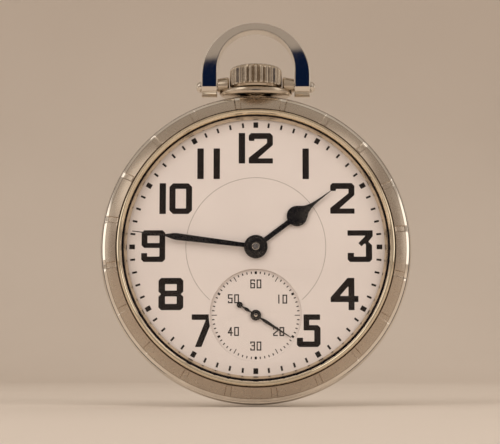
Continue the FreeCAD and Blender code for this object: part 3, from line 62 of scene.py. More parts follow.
# An open face pocket watch, in the CAD frame: 12 o'clock is +Z, 3 o'clock is +X and the dial faces -Y.
# Shapes are drawn in millimetres. A "depth" runs from the case back's flat towards the dial (y = -depth),
# and a bearing is in degrees, clockwise from 12 o'clock.

MM = 0.001


# ---- sizes read from the frame ----


def depths(node):
    """The depths between which a CAD node lies, in millimetres."""
    low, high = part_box(node)
    return -high.y / MM, -low.y / MM


def reach(node):
    """Half of a CAD node's width, in millimetres."""
    low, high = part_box(node)
    return (high.x - low.x) / 2 / MM


def middle(node):
    """The middle of a CAD node's box, in millimetres."""
    low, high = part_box(node)
    return (low + high) / 2 / MM


def top_of(node):
    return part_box(node)[1].z / MM


CASE_R = reach("case_center")
DIAL_R = reach("dial")
DIAL_FACE = depths("dial")[1]
SUNK_FACE = depths("seconds_dial")[1]
SUNK_UNDERLAP = 0.4
SUNK_R = reach("seconds_dial") - SUNK_UNDERLAP
SUNK_Z = middle("seconds_dial").z
CRYSTAL_R = reach("crystal")
CRYSTAL_TOP = depths("crystal")[1]
CRYSTAL_SEAT = depths("crystal")[0]
STEM_DEPTH = -middle("crown").y
PIVOT_Z = middle("bow_screws").z
BOW_OUTER_R = reach("bow")
BOW_TOP = top_of("bow")
BOW_FOOT = PIVOT_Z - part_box("bow")[0].z / MM
CROWN_R = reach("crown")
CROWN_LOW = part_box("crown")[0].z / MM
CROWN_TOP = top_of("crown")
SCREW_REACH = reach("bow_screws")
SCREW_HEAD_R = top_of("bow_screws") - PIVOT_Z

# The two edges of the bezel's sloping band, as (radius, depth).
BAND_OUTER = (24.8, 9.2)
BAND_INNER = (22.95, 10.6)


# ---- materials ----

# Nearly all of a noise lies between these two values.
NOISE_LOW = 0.3
NOISE_HIGH = 0.7


class NodeTree:
    """A node tree, and a short way to add nodes to it."""

    def __init__(self, owner):
        owner.use_nodes = True
        self.nodes = owner.node_tree.nodes
        self.links = owner.node_tree.links

    def fill(self, socket, value):
        """Sets a socket to a value, or links another node's socket to it."""
        if isinstance(value, bpy.types.NodeSocket):
            self.links.new(value, socket)
        else:
            socket.default_value = value

    def add(self, kind, output=0, **inputs):
        """Adds a node, fills its inputs (a _ stands for a space) and gives back one of its outputs."""
        node = self.nodes.new("ShaderNode" + kind)
        for name, value in inputs.items():
            self.fill(node.inputs[name.replace("_", " ")], value)
        return node.outputs[output]

    def math(self, operation, *values, kind="Math", output="Value"):
        node = self.nodes.new("ShaderNode" + kind)
        node.operation = operation
        for socket, value in zip(node.inputs, values):
            self.fill(socket, value)
        return node.outputs[output]

    def blend(self, kind, share, first, second):
        """Puts a colour over another by a share, by one of Blender's ways to blend."""
        mixed = self.add("MixRGB", Fac=share, Color1=first, Color2=(*second, 1))
        mixed.node.blend_type = kind
        return mixed

    def ramp(self, source, stops):
        """A colour ramp through stops of (position, colour)."""
        colour = self.add("ValToRGB", Fac=source)
        elements = colour.node.color_ramp.elements
        elements[0].position = stops[0][0]
        elements[1].position = stops[-1][0]
        for position, _ in stops[1:-1]:
            elements.new(position)
        for element, (_, value) in zip(elements, stops):
            element.color = (*value, 1)
        return colour


class Paint(NodeTree):
    """A new material with a Principled shader."""

    def __init__(self, name):
        self.material = bpy.data.materials.new(name)
        super().__init__(self.material)
        self.shader = self.nodes["Principled BSDF"]
        self.place = self.add("TexCoord", "Object")

    def set(self, **values):
        for name, value in values.items():
            self.fill(self.shader.inputs[name.replace("_", " ")], value)
        return self

    def noise(self, scale, detail=4.0, stretch=(1, 1, 1)):
        """A noise with about this many grains to the millimetre, drawn out along one direction."""
        mapped = self.add("Mapping", Vector=self.place, Scale=stretch)
        return self.add("TexNoise", "Fac", Vector=mapped, Scale=scale / MM, Detail=detail)

    def vary(self, socket, source, low, high):
        """Spreads a noise over a socket between two numbers or two colours."""
        if isinstance(low, (int, float)):
            ends = {"From_Min": NOISE_LOW, "From_Max": NOISE_HIGH, "To_Min": low, "To_Max": high}
            spread = self.add("MapRange", Value=source, **ends)
        else:
            spread = self.ramp(source, [(NOISE_LOW, low), (NOISE_HIGH, high)])
        self.fill(self.shader.inputs[socket], spread)
        return self

    def bump(self, source, strength, height):
        return self.set(Normal=self.add("Bump", Height=source, Strength=strength, Distance=height * MM))


def polished_steel():
    """Stainless steel with a warm tint, softly worn by handling."""
    paint = Paint("polished_steel").set(Metallic=1.0)
    cloud = paint.noise(0.12, detail=3.0)
    paint.vary("Base Color", cloud, (0.72, 0.67, 0.60), (0.78, 0.73, 0.66))
    wear = paint.noise(1.2, detail=6.0)
    return paint.vary("Roughness", wear, 0.02, 0.035).material


def worn_steel():
    """The crown and pendant, which fingers have dulled and browned."""
    paint = Paint("worn_steel").set(Metallic=1.0)
    cloud = paint.noise(0.5, detail=5.0)
    paint.vary("Base Color", cloud, (0.54, 0.46, 0.37), (0.66, 0.58, 0.48))
    wear = paint.noise(2.0, detail=6.0)
    return paint.vary("Roughness", wear, 0.15, 0.24).material


# The bezel's colours by radius: inner slope, crystal's seam darkened as painted shade, polished lip
# lightened as a painted highlight, seam darkened as painted shade, band, band's outer edge darkened as
# painted shade, outer rim lightened as a painted highlight.
BEZEL_TONES_AND_PAINTED_LIGHT = [
    (21.10, (0.74, 0.64, 0.50)),
    (21.52, (0.70, 0.60, 0.46)),
    (21.62, (0.20, 0.13, 0.08)),
    (21.84, (0.22, 0.15, 0.09)),
    (21.98, (0.90, 0.81, 0.64)),
    (22.78, (0.88, 0.79, 0.62)),
    (22.86, (0.14, 0.10, 0.07)),
    (22.95, (0.20, 0.15, 0.11)),
    (23.04, (0.58, 0.50, 0.42)),
    (24.72, (0.62, 0.55, 0.47)),
    (24.82, (0.36, 0.30, 0.24)),
    (24.92, (0.95, 0.91, 0.84)),
]
# How dull the bezel is by radius, from 0 for polished to 1 for satin.
BEZEL_DULL = [(21.55, 0.9), (21.62, 0.6), (21.95, 0.0), (22.90, 0.0)]
BEZEL_DULL += [(23.00, 1.0), (24.75, 1.0), (24.90, 0.0)]


def satin_steel_painted_light():
    """The bezel: polished at its edges, its band dulled by handling, with painted shade in its seams and
    painted highlights on its lip and outer rim.
    """
    margin = 0.1
    paint = Paint("satin_steel_painted_light").set(Metallic=1.0)
    across = paint.math("MULTIPLY", paint.place, (1, 0, 1), kind="VectorMath", output="Vector")
    length = paint.math("LENGTH", across, kind="VectorMath")
    start, stop = BEZEL_TONES_AND_PAINTED_LIGHT[0][0] - margin, BEZEL_TONES_AND_PAINTED_LIGHT[-1][0] + margin
    share = paint.add("MapRange", Value=length, From_Min=start * MM, From_Max=stop * MM)

    def by_radius(stops):
        """A ramp through stops of (radius, colour)."""
        return paint.ramp(share, [((radius - start) / (stop - start), colour) for radius, colour in stops])

    cloud = paint.noise(0.25, detail=5.0)
    # The radius ramp paints shade into the seams and highlights onto the lip and outer rim. The cloud is
    # the steel's own mottling.
    colour = paint.blend("MULTIPLY", cloud, by_radius(BEZEL_TONES_AND_PAINTED_LIGHT), (0.84, 0.82, 0.80))
    wear = paint.add("MapRange", Value=paint.noise(0.9, detail=6.0), To_Min=0.22, To_Max=0.32)
    dullness = by_radius([(radius, (dull, dull, dull)) for radius, dull in BEZEL_DULL])
    rough = paint.add("MapRange", Value=dullness, To_Min=0.05, To_Max=wear)
    return paint.set(Base_Color=colour, Roughness=rough).material


def dial_enamel():
    paint = Paint("dial_enamel").set(Coat_Weight=0.35, Coat_Roughness=0.08)
    cloud = paint.noise(0.10, detail=5.0)
    paint.vary("Base Color", cloud, (0.80, 0.75, 0.73), (0.84, 0.79, 0.77))
    paint.vary("Roughness", paint.noise(1.5), 0.30, 0.38)
    return paint.bump(paint.noise(0.6, detail=2.0), 0.05, 0.02).material


def dial_ink(name, dark, light):
    paint = Paint(name).set(Specular_IOR_Level=0.25)
    paint.vary("Base Color", paint.noise(1.2), dark, light)
    paint.vary("Roughness", paint.noise(4.0), 0.30, 0.42)
    return paint.bump(paint.noise(8.0), 0.1, 0.004).material


def hand_lacquer():
    paint = Paint("hand_lacquer").set(Coat_Weight=0.3, Coat_Roughness=0.08)
    paint.vary("Base Color", paint.noise(0.8), (0.003, 0.003, 0.0035), (0.008, 0.007, 0.007))
    paint.vary("Roughness", paint.noise(3.0), 0.22, 0.34)
    return paint.bump(paint.noise(6.0), 0.08, 0.004).material


def clear_crystal():
    """Clear to look through, with reflections that grow towards the edge, the same from both sides."""
    least_gloss, edge_gloss, edge_power = 0.010, 0.75, 4.0
    paint = Paint("clear_crystal").set(Metallic=1.0)
    paint.vary("Base Color", paint.noise(0.3, detail=2.0), (0.90, 0.93, 0.97), (0.95, 0.97, 1.0))
    paint.vary("Roughness", paint.noise(0.8, detail=3.0), 0.0, 0.02)
    clear = paint.add("BsdfTransparent", Color=(0.99, 0.985, 0.98, 1))
    steep = paint.math("POWER", paint.add("LayerWeight", "Facing", Blend=0.5), edge_power)
    gloss = paint.math("MULTIPLY_ADD", steep, edge_gloss, least_gloss)
    mixed = paint.add("MixShader", Fac=gloss)
    paint.fill(mixed.node.inputs[1], clear)
    paint.fill(mixed.node.inputs[2], paint.shader.outputs["BSDF"])
    paint.fill(paint.nodes["Material Output"].inputs["Surface"], mixed)
    return paint.material


def striped_nickel():
    """Nickel plate with the fine straight stripes of a decorated movement."""
    paint = Paint("striped_nickel").set(Metallic=1.0)
    stripes = {"Scale": 0.35 / MM, "Distortion": 0.6, "Detail_Scale": 0.3}
    wave = paint.add("TexWave", "Fac", Vector=paint.place, **stripes)
    paint.vary("Base Color", wave, (0.58, 0.57, 0.54), (0.72, 0.71, 0.68))
    paint.vary("Roughness", paint.noise(2.0, stretch=(1, 1, 8)), 0.22, 0.38)
    return paint.bump(paint.noise(6.0, stretch=(1, 1, 12)), 0.2, 0.01).material


def gilt_brass():
    paint = Paint("gilt_brass").set(Metallic=1.0)
    paint.vary("Base Color", paint.noise(0.4), (0.68, 0.48, 0.20), (0.80, 0.60, 0.28))
    paint.vary("Roughness", paint.noise(2.5), 0.20, 0.34)
    return paint.bump(paint.noise(7.0, detail=8.0), 0.12, 0.01).material


def ground_steel():
    paint = Paint("ground_steel").set(Metallic=1.0)
    paint.vary("Base Color", paint.noise(0.5), (0.50, 0.50, 0.50), (0.62, 0.62, 0.61))
    paint.vary("Roughness", paint.noise(3.0, stretch=(1, 1, 6)), 0.18, 0.32)
    return paint.bump(paint.noise(9.0, stretch=(1, 1, 10)), 0.15, 0.008).material


def blued_steel():
    paint = Paint("blued_steel").set(Metallic=1.0)
    paint.vary("Base Color", paint.noise(0.6), (0.03, 0.05, 0.20), (0.06, 0.09, 0.32))
    paint.vary("Roughness", paint.noise(4.0), 0.14, 0.24)
    return paint.bump(paint.noise(9.0), 0.06, 0.006).material


def ruby():
    paint = Paint("ruby").set(IOR=1.76, Coat_Weight=0.5)
    paint.vary("Base Color", paint.noise(1.5), (0.35, 0.01, 0.04), (0.60, 0.03, 0.09))
    paint.vary("Roughness", paint.noise(5.0), 0.05, 0.12)
    return paint.material


def pale_floor():
    paint = Paint("pale_floor")
    paint.vary("Base Color", paint.noise(0.004), (0.70, 0.63, 0.56), (0.74, 0.67, 0.60))
    paint.vary("Roughness", paint.noise(0.02), 0.75, 0.9)
    return paint.material


STEEL = polished_steel()
SATIN_PAINTED_LIGHT = satin_steel_painted_light()
WORN = worn_steel()
ENAMEL = dial_enamel()
INK = dial_ink("dial_ink", (0.004, 0.003, 0.003), (0.012, 0.007, 0.006))
GREY_INK = dial_ink("grey_ink", (0.30, 0.27, 0.25), (0.38, 0.35, 0.32))
LACQUER = hand_lacquer()
CRYSTAL = clear_crystal()

SLOT_MATERIALS = {
    "case_steel": STEEL,
    "steel": ground_steel(),
    "nickel": striped_nickel(),
    "brass": gilt_brass(),
    "blued_steel": blued_steel(),
    "dial_enamel": ENAMEL,
    "hand_black": LACQUER,
    "crystal_clear": CRYSTAL,
    "ruby": ruby(),
}


def paint_frame():
    """Gives each CAD node the material of its slot."""
    for part in frame["record"]["subparts"]:
        material = SLOT_MATERIALS[part["material_slot"]]
        for slot in frame["nodes"][part["node"]].material_slots:
            slot.material = material


# ---- drawing ----

WELD = 0.0005
SHORTEST_EDGE = 0.0002
SHARP_ANGLE = 35


def at_bearing(distance, bearing):
    turn = math.radians(bearing)
    return distance * math.sin(turn), distance * math.cos(turn)


def filleted(corners, steps=5):
    """A closed outline through corners of (across, along, radius), each rounded by about its radius."""
    rounded = []
    count = len(corners)
    for n, (across, along, radius) in enumerate(corners):
        here = Vector((across, along))
        if radius == 0:
            rounded.append(here)
            continue
        before = Vector(corners[n - 1][:2]) - here
        after = Vector(corners[(n + 1) % count][:2]) - here
        half = before.angle(after) / 2
        room = 0.48 * min(before.length, after.length)
        trim = min(radius / math.tan(half), room)
        start = here + before.normalized() * trim
        stop = here + after.normalized() * trim
        for step in range(steps + 1):
            share = step / steps
            point = start * (1 - share) ** 2 + here * 2 * share * (1 - share) + stop * share**2
            rounded.append(point)
    return rounded


def bowed(start, stop, rise, steps=12):
    """Corners between two ends of a shallow arc that rises to the left of the way from start to stop."""
    start, stop = Vector(start), Vector(stop)
    along = stop - start
    left = Vector((-along.y, along.x)).normalized()
    corners = []
    for step in range(1, steps):
        share = step / steps
        point = start + along * share + left * rise * 4 * share * (1 - share)
        corners.append((point.x, point.y, 0))
    return corners


def watch_axis(radius, depth, bearing):
    x, z = at_bearing(radius, bearing)
    return Vector((x, -depth, z))


def stem_axis(radius, height, bearing):
    x, y = at_bearing(radius, bearing)
    return Vector((x, y - STEM_DEPTH, height))


def lathe(outline, bearings, where=watch_axis, shape=None):
    """A closed outline turned about an axis. shape may move each point by its bearing."""
    drawn = bmesh.new()
    rings = []
    for bearing in bearings:
        moved = [shape(*point, bearing) for point in outline] if shape else outline
        rings.append([drawn.verts.new(where(*point, bearing)) for point in moved])
    for ring, following in zip(rings, rings[1:] + rings[:1]):
        for n in range(len(ring)):
            drawn.faces.new((ring[n - 1], ring[n], following[n], following[n - 1]))
    return drawn


def even_bearings(count):
    return [n * 360 / count for n in range(count)]


def take_in(drawn, part):
    """Adds one drawing to another."""
    mesh = bpy.data.meshes.new("part")
    part.to_mesh(mesh)
    part.free()
    drawn.from_mesh(mesh)
    bpy.data.meshes.remove(mesh)


def tidy_mesh(drawn, name):
    """Welds what a drawing repeats, turns its faces outwards and scales it to metres."""
    bmesh.ops.remove_doubles(drawn, verts=drawn.verts, dist=WELD)
    bmesh.ops.dissolve_degenerate(drawn, edges=drawn.edges, dist=SHORTEST_EDGE)
    bmesh.ops.recalc_face_normals(drawn, faces=drawn.faces)
    bmesh.ops.scale(drawn, vec=(MM, MM, MM), verts=drawn.verts)
    mesh = bpy.data.meshes.new(name)
    drawn.to_mesh(mesh)
    drawn.free()
    return mesh


def into_scene(name, data):
    thing = bpy.data.objects.new(name, data)
    bpy.context.scene.collection.objects.link(thing)
    return thing


def add_piece(name, drawn, body, material, nodes=()):
    """A piece that rides on a body, in the place of the CAD nodes given."""
    mesh = drawn if isinstance(drawn, bpy.types.Mesh) else tidy_mesh(drawn, name)
    mesh.materials.clear()
    mesh.materials.append(material)
    mesh.shade_smooth()
    mesh.set_sharp_from_angle(angle=math.radians(SHARP_ANGLE))
    piece = into_scene(name, mesh)
    weighted = piece.modifiers.new("weighted", "WEIGHTED_NORMAL")
    weighted.keep_sharp = True
    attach(piece, body)
    if nodes:
        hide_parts(*nodes)
    return piece


def mesh_of(thing):
    """The mesh of an object as its curve or modifiers make it."""
    bpy.context.view_layer.update()
    solid = thing.evaluated_get(bpy.context.evaluated_depsgraph_get())
    return bpy.data.meshes.new_from_object(solid)


def flat_mesh(name, loops, low, high, bevel=0.0):
    """A plate between two depths with these outlines and holes, its edges rounded by the bevel."""
    curve = bpy.data.curves.new(name, "CURVE")
    curve.dimensions = "2D"
    curve.fill_mode = "BOTH"
    for loop in loops:
        spline = curve.splines.new("POLY")
        spline.points.add(len(loop) - 1)
        for point, (x, z) in zip(spline.points, loop):
            point.co = (x, z, 0, 1)
        spline.use_cyclic_u = True
    curve.extrude = (high - low) / 2 - bevel
    curve.bevel_depth = bevel
    curve.bevel_resolution = 2
    curve.offset = -bevel
    source = into_scene(name, curve)
    mesh = mesh_of(source)
    bpy.data.objects.remove(source)
    upright = Matrix.Rotation(math.pi / 2, 4, "X")
    mesh.transform(Matrix.Translation((0, -(low + high) / 2, 0)) @ upright)
    drawn = bmesh.new()
    drawn.from_mesh(mesh)
    bpy.data.meshes.remove(mesh)
    return tidy_mesh(drawn, name)


def circle(radius, centre=(0.0, 0.0), count=192):
    points = [at_bearing(radius, bearing) for bearing in even_bearings(count)]
    return [(centre[0] + x, centre[1] + z) for x, z in points]


def turned(points, bearing, centre=(0.0, 0.0)):
    """Points turned clockwise about the origin, then moved to a centre."""
    turn = math.radians(bearing)
    cos, sin = math.cos(turn), math.sin(turn)
    return [(centre[0] + x * cos + z * sin, centre[1] + z * cos - x * sin) for x, z in points]


def bar(length, width, distance, bearing, centre=(0.0, 0.0)):
    """A small rectangle that points at a centre, its middle at a distance from it."""
    half = width / 2
    near, far = distance - length / 2, distance + length / 2
    return turned([(-half, near), (half, near), (half, far), (-half, far)], bearing, centre)


# ---- case ----

# The notches in the bezel's band. Bearings and half widths are in degrees.
NOTCHES = 20
NOTCH_PHASE = 10.8
NOTCH_HALF = 1.25
NOTCH_DEPTH = 0.19
NOTCH_STEEPNESS = 2.6
# The depth below which there is no notch, and how far a notch takes to reach its full depth at each end.
NOTCH_LOW = 8.75
NOTCH_INNER_RUN = 0.25
NOTCH_OUTER_RUN = 0.3
BAND_SLOPE = (BAND_INNER[1] - BAND_OUTER[1]) / (BAND_OUTER[0] - BAND_INNER[0])
BAND_NORMAL = (0.6, 0.8)
BAND_SKIN = 0.2


def notched(radius, depth, bearing):
    """Sinks the bezel's band at each notch, and leaves its inner walls alone."""
    step = 360 / NOTCHES
    off = (bearing - NOTCH_PHASE + step / 2) % step - step / 2
    inside = depth < BAND_OUTER[1] + (BAND_OUTER[0] - radius) * BAND_SLOPE - BAND_SKIN
    on_band = radius >= BAND_INNER[0] and depth > NOTCH_LOW and not inside
    if abs(off) >= NOTCH_HALF or not on_band:
        return radius, depth
    inner_share = (radius - BAND_INNER[0]) / NOTCH_INNER_RUN
    outer_share = (depth - NOTCH_LOW) / NOTCH_OUTER_RUN
    flat = min(1.0, NOTCH_STEEPNESS * math.cos(off / NOTCH_HALF * math.pi / 2))
    sink = NOTCH_DEPTH * min(1.0, inner_share, outer_share) * flat
    return radius - sink * BAND_NORMAL[0], depth - sink * BAND_NORMAL[1]


def bezel_bearings():
    """Close together in the notches, further apart between them."""
    step = 360 / NOTCHES
    fine_steps, coarse_steps = 9, 12
    between = step - 2 * NOTCH_HALF
    fine = [NOTCH_HALF * (n / fine_steps) for n in range(-fine_steps, fine_steps + 1)]
    coarse = [NOTCH_HALF + between * n / coarse_steps for n in range(1, coarse_steps)]
    found = []
    for notch in range(NOTCHES):
        found += [NOTCH_PHASE + notch * step + off for off in fine + coarse]
    return found


def make_bezel():
    """The band, the polished lip round the crystal and the slope inside it."""
    seam = 8.06
    corners = [
        (23.72, seam, 0.05),
        (CASE_R - 0.45, seam, 0.12),
        (CASE_R - 0.55, 8.7, 0.45),
        (*BAND_OUTER, 0.35),
    ]
    corners += bowed(BAND_OUTER, BAND_INNER, -0.05, steps=8)[1:]
    corners += [
        (*BAND_INNER, 0.06),
        (22.86, 10.46, 0.05),
        (22.78, 10.95, 0.1),
        (22.66, 11.45, 0.35),
        (22.40, 11.80, 0.3),
        (22.08, 11.62, 0.3),
        (21.93, 11.30, 0.06),
        (22.14, 11.18, 0.02),
        (22.14, 10.76, 0.02),
        (21.58, 10.76, 0.06),
        (21.12, 10.02, 0.06),
        (22.18, 10.00, 0.05),
        (22.20, 9.76, 0.05),
        (23.70, 9.76, 0.05),
    ]
    drawn = lathe(filleted(corners), bezel_bearings(), shape=notched)
    add_piece("bezel_ring", drawn, "ring", SATIN_PAINTED_LIGHT, ["bezel"])


def make_case():
    """The case's middle, with the ledge that carries the dial."""
    corners = [
        (20.9, 5.9, 0),
        (21.9, 5.9, 0),
        (21.9, 2.7, 0.05),
        (23.6, 2.7, 0.05),
        (23.6, 4.2, 0.03),
        (CASE_R - 0.3, 4.2, 0.1),
        (CASE_R - 0.03, 5.1, 0.8),
        (CASE_R, 6.1, 0.9),
        (CASE_R - 0.03, 7.1, 0.8),
        (CASE_R - 0.3, 8.0, 0.1),
        (23.6, 8.0, 0.03),
        (23.6, 9.5, 0.05),
        (22.3, 9.5, 0.05),
        (22.3, 8.6, 0),
        (21.75, 8.6, 0),
        (21.75, 6.5, 0),
        (20.9, 6.5, 0),
    ]
    drawn = lathe(filleted(corners), even_bearings(360))
    add_piece("case_middle", drawn, "case", STEEL, ["case_center"])


def make_back():
    """A hollow cover, flat in its middle."""
    corners = [
        (0, 0, 0),
        (15.0, 0, 0.5),
        (18.4, 0.18, 2.0),
        (21.6, 0.95, 2.0),
        (CASE_R - 1.7, 2.0, 1.6),
        (CASE_R - 0.75, 2.95, 0.9),
        (CASE_R - 0.42, 4.14, 0.1),
        (23.7, 4.14, 0.03),
        (23.7, 2.6, 0.05),
        (21.5, 1.5, 1.5),
        (18.4, 0.84, 1.5),
        (15.0, 0.6, 0),
        (0, 0.6, 0),
    ]
    drawn = lathe(filleted(corners), even_bearings(360))
    add_piece("case_back_cover", drawn, "back", STEEL, ["case_back"])


def make_crystal():
    """A low dome, hollow beneath, with a bevelled edge."""
    edge, inner_edge = CRYSTAL_R - 0.25, CRYSTAL_R - 0.75
    shoulder = CRYSTAL_SEAT + 0.5
    inner_top = CRYSTAL_TOP - 0.8
    rise, inner_rise, steps = 0.48, -0.42, 28
    corners = [(0, CRYSTAL_TOP, 0)]
    corners += bowed((0, CRYSTAL_TOP), (edge, shoulder), rise, steps)
    corners += [
        (edge, shoulder, 0.08),
        (CRYSTAL_R, shoulder - 0.22, 0.05),
        (CRYSTAL_R, CRYSTAL_SEAT, 0.05),
        (inner_edge, CRYSTAL_SEAT, 0.05),
    ]
    corners += bowed((inner_edge, CRYSTAL_SEAT), (0, inner_top), inner_rise, steps)
    corners.append((0, inner_top, 0))
    drawn = lathe(filleted(corners), even_bearings(256))
    add_piece("domed_crystal", drawn, "glass", CRYSTAL, ["crystal"])


# ---- pendant, crown and bow ----

FLUTES = 28
FLUTE_DEPTH = 0.42
FLUTE_POWER = 0.7
# The bow's arch lies between two half circles, the inner one with its centre a little lower.
BOW_LEG_WIDE = 2.6
BOW_ARCH_WIDE = 1.33
BOW_INNER_R = BOW_OUTER_R - BOW_LEG_WIDE
BOW_OUTER_Z = BOW_TOP - BOW_OUTER_R
BOW_INNER_Z = BOW_TOP - BOW_ARCH_WIDE - BOW_INNER_R
BOW_TOP_HALF = 1.3
BOW_EDGE = 0.13


def make_crown():
    """A plain foot, a fluted side and a low dome, hollow round the stem."""
    bore, side = 0.8, CROWN_R
    low, high = CROWN_LOW + 0.4, CROWN_TOP - 0.95
    flute_foot = low + 0.3
    shoulder = (side - 0.35, high + 0.42)

    def fluted(radius, height, bearing):
        """Sinks the side between its ridges, less towards its foot, its dome and its middle."""
        ridge = (0.5 + 0.5 * math.cos(math.radians(bearing * FLUTES))) ** FLUTE_POWER
        fade = max(0.0, min(1.0, (height - low) / 0.15, (CROWN_TOP - 0.12 - height) / 0.6))
        outer = min(1.0, max(0.0, (radius - 1.8) / 1.6))
        return radius - FLUTE_DEPTH * (1 - ridge) * fade * outer, height

    corners = [(bore, CROWN_LOW, 0), (2.2, CROWN_LOW, 0), (side - 0.42, CROWN_LOW, 0.1)]
    corners += [(side - 0.22, low - 0.1, 0.08), (side - 0.06, low, 0.05), (side, flute_foot, 0.1)]
    corners += [(side, flute_foot + n * (high - low - 0.3) / 8, 0) for n in range(1, 8)]
    corners += [(side, high, 0.35), (*shoulder, 0.35)]
    corners += bowed(shoulder, (0, CROWN_TOP), -0.18, steps=12)
    corners += [(0, CROWN_TOP, 0), (0, high, 0), (bore, high, 0)]
    drawn = lathe(filleted(corners), even_bearings(FLUTES * 16), stem_axis, fluted)
    add_piece("fluted_crown", drawn, "winder", WORN, ["crown"])


def ring_mesh(drawn, rings):
    """Joins rings of points into a skin, and closes both of its ends."""
    made = [[drawn.verts.new(point) for point in ring] for ring in rings]
    for ring, following in zip(made, made[1:]):
        for n in range(len(ring)):
            drawn.faces.new((ring[n - 1], ring[n], following[n], following[n - 1]))
    drawn.faces.new(made[0])
    drawn.faces.new(reversed(made[-1]))
    return drawn


def rounded_box(half_across, half_deep, radius, steps=4):
    """Points round a rectangle with rounded corners. A point beside each corner keeps its faces flat."""
    most_round, flat_share = 0.7, 0.92
    radius = min(radius, half_across * most_round, half_deep * most_round)
    flat = (half_across - radius) * flat_share
    points = []
    for quarter in range(4):
        turn = quarter * math.pi / 2
        sign_x = 1 if quarter in (0, 3) else -1
        sign_y = 1 if quarter in (0, 1) else -1
        support = (sign_x * flat, sign_y * half_deep)
        corner = []
        for step in range(steps + 1):
            angle = turn + step / steps * math.pi / 2
            across = sign_x * (half_across - radius) + radius * math.cos(angle)
            deep = sign_y * (half_deep - radius) + radius * math.sin(angle)
            corner.append((across, deep))
        points += [*corner, support] if quarter in (0, 2) else [support, *corner]
    return points


def leg_depth(z):
    """Half of the bow's thickness from front to back, which shrinks evenly towards its top."""
    return BOW_FOOT + (BOW_TOP_HALF - BOW_FOOT) * (z - PIVOT_Z) / (BOW_TOP - PIVOT_Z)


def bow_sections():
    """The bow's sections from the right foot to the top, as (outer point, inner point, half thickness)."""
    foot_steps, leg_steps, arch_steps = 10, 5, 40
    sections = []
    for step in range(foot_steps):
        angle = math.pi / 2 * (1 - step / foot_steps)
        z = PIVOT_Z - BOW_FOOT * math.sin(angle)
        deep = max(0.02, BOW_FOOT * math.cos(angle))
        sections.append(((BOW_OUTER_R, z), (BOW_INNER_R, z), deep))
    arch = []
    for step in range(leg_steps):
        share = step / leg_steps
        outer = (BOW_OUTER_R, PIVOT_Z + share * (BOW_OUTER_Z - PIVOT_Z))
        inner = (BOW_INNER_R, PIVOT_Z + share * (BOW_INNER_Z - PIVOT_Z))
        arch.append((outer, inner))
    for step in range(arch_steps + 1):
        angle = math.pi / 2 * step / arch_steps
        outer = (BOW_OUTER_R * math.cos(angle), BOW_OUTER_Z + BOW_OUTER_R * math.sin(angle))
        inner = (BOW_INNER_R * math.cos(angle), BOW_INNER_Z + BOW_INNER_R * math.sin(angle))
        arch.append((outer, inner))
    for outer, inner in arch:
        sections.append((outer, inner, leg_depth((outer[1] + inner[1]) / 2)))
    return sections


def make_bow():
    """Rounded rectangles from the right foot over the arch to the left foot."""
    half = bow_sections()
    mirrored = [((-o[0], o[1]), (-i[0], i[1]), d) for o, i, d in reversed(half[:-1])]
    rings = []
    for outer, inner, deep in half + mirrored:
        outer, inner = Vector(outer), Vector(inner)
        centre, across = (outer + inner) / 2, (outer - inner) / 2
        unit = across.normalized()
        ring = []
        for a, d in rounded_box(across.length, deep, BOW_EDGE):
            z = centre.y + unit.y * a
            if centre.y > PIVOT_Z:
                d *= leg_depth(z) / leg_depth(centre.y)
            ring.append(Vector((centre.x + unit.x * a, d - STEM_DEPTH, z)))
        rings.append(ring)
    drawn = ring_mesh(bmesh.new(), rings)
    add_piece("bow_loop_piece", drawn, "bow", STEEL, ["bow"])


def pivot_axis(side, droop=1.0):
    """For lathe: turns about the bow's pivots, outwards on one side. droop scales the lower half."""

    def where(radius, out, bearing):
        y, z = at_bearing(radius, bearing)
        return Vector((side * out, y - STEM_DEPTH, PIVOT_Z + z * (droop if z < 0 else 1.0)))

    return where


def make_bow_screws():
    """Shanks through the bow's feet, under domed heads."""
    shank_r, head_r = 0.7, SCREW_HEAD_R
    seat = BOW_OUTER_R + 0.08
    corners = [
        (0, 5.0, 0),
        (shank_r, 5.0, 0.06),
        (shank_r, seat, 0),
        (head_r, seat, 0.08),
        (head_r, seat + 0.3, 0.5),
        (0.62, SCREW_REACH - 0.12, 0.4),
        (0.3, SCREW_REACH - 0.02, 0),
        (0, SCREW_REACH, 0),
    ]
    drawn = bmesh.new()
    for side in (-1, 1):
        take_in(drawn, lathe(filleted(corners), even_bearings(48), pivot_axis(side)))
    add_piece("bow_screw_pair", drawn, "case", STEEL, ["bow_screws"])


def make_pendant():
    """A neck that widens into an oval shoulder, with an ear at each end of it."""
    foot, low, high = CASE_R - 1.1, CASE_R, CROWN_LOW - 0.12
    bore, neck, base = 1.25, 1.85, 4.8
    long_half, wide_half = BOW_INNER_R - 0.3, 3.5

    def where(radius, height, bearing):
        """Round at the neck and oval at the shoulder."""
        share = min(1.0, max(0.0, (radius - 1.9) / (base - 1.9)))
        x, y = at_bearing(radius, bearing)
        x *= 1 + share * (long_half / base - 1)
        y *= 1 + share * (wide_half / base - 1)
        return Vector((x, y - STEM_DEPTH, height))

    corners = [
        (bore, foot, 0),
        (neck, foot, 0),
        (neck, low - 0.25, 0.1),
        (2.6, low, 0.3),
        (base - 0.3, low, 0.25),
        (base, (low - 0.05 + high) / 2, 0.3),
        (base - 0.3, high, 0.25),
        (bore, high, 0.05),
    ]
    drawn = lathe(filleted(corners), even_bearings(120), where)
    inner, outer = CROWN_R + 0.2, BOW_INNER_R - 0.08
    corners = [
        (0, inner - 0.1, 0),
        (1.4, inner - 0.1, 0.1),
        (1.72, inner + 0.12, 0.12),
        (1.42, outer, 0.08),
        (0, outer, 0),
    ]
    ear = filleted(corners)
    for side in (-1, 1):
        take_in(drawn, lathe(ear, even_bearings(64), pivot_axis(side, droop=0.6)))
    add_piece("pendant_body", drawn, "case", WORN, ["pendant"])


# ---- dial ----

INK_THICK = 0.012
ENAMEL_THICK = 0.45
SUNK_THICK = 0.3
SUNK_CENTRE = (0.0, SUNK_Z)

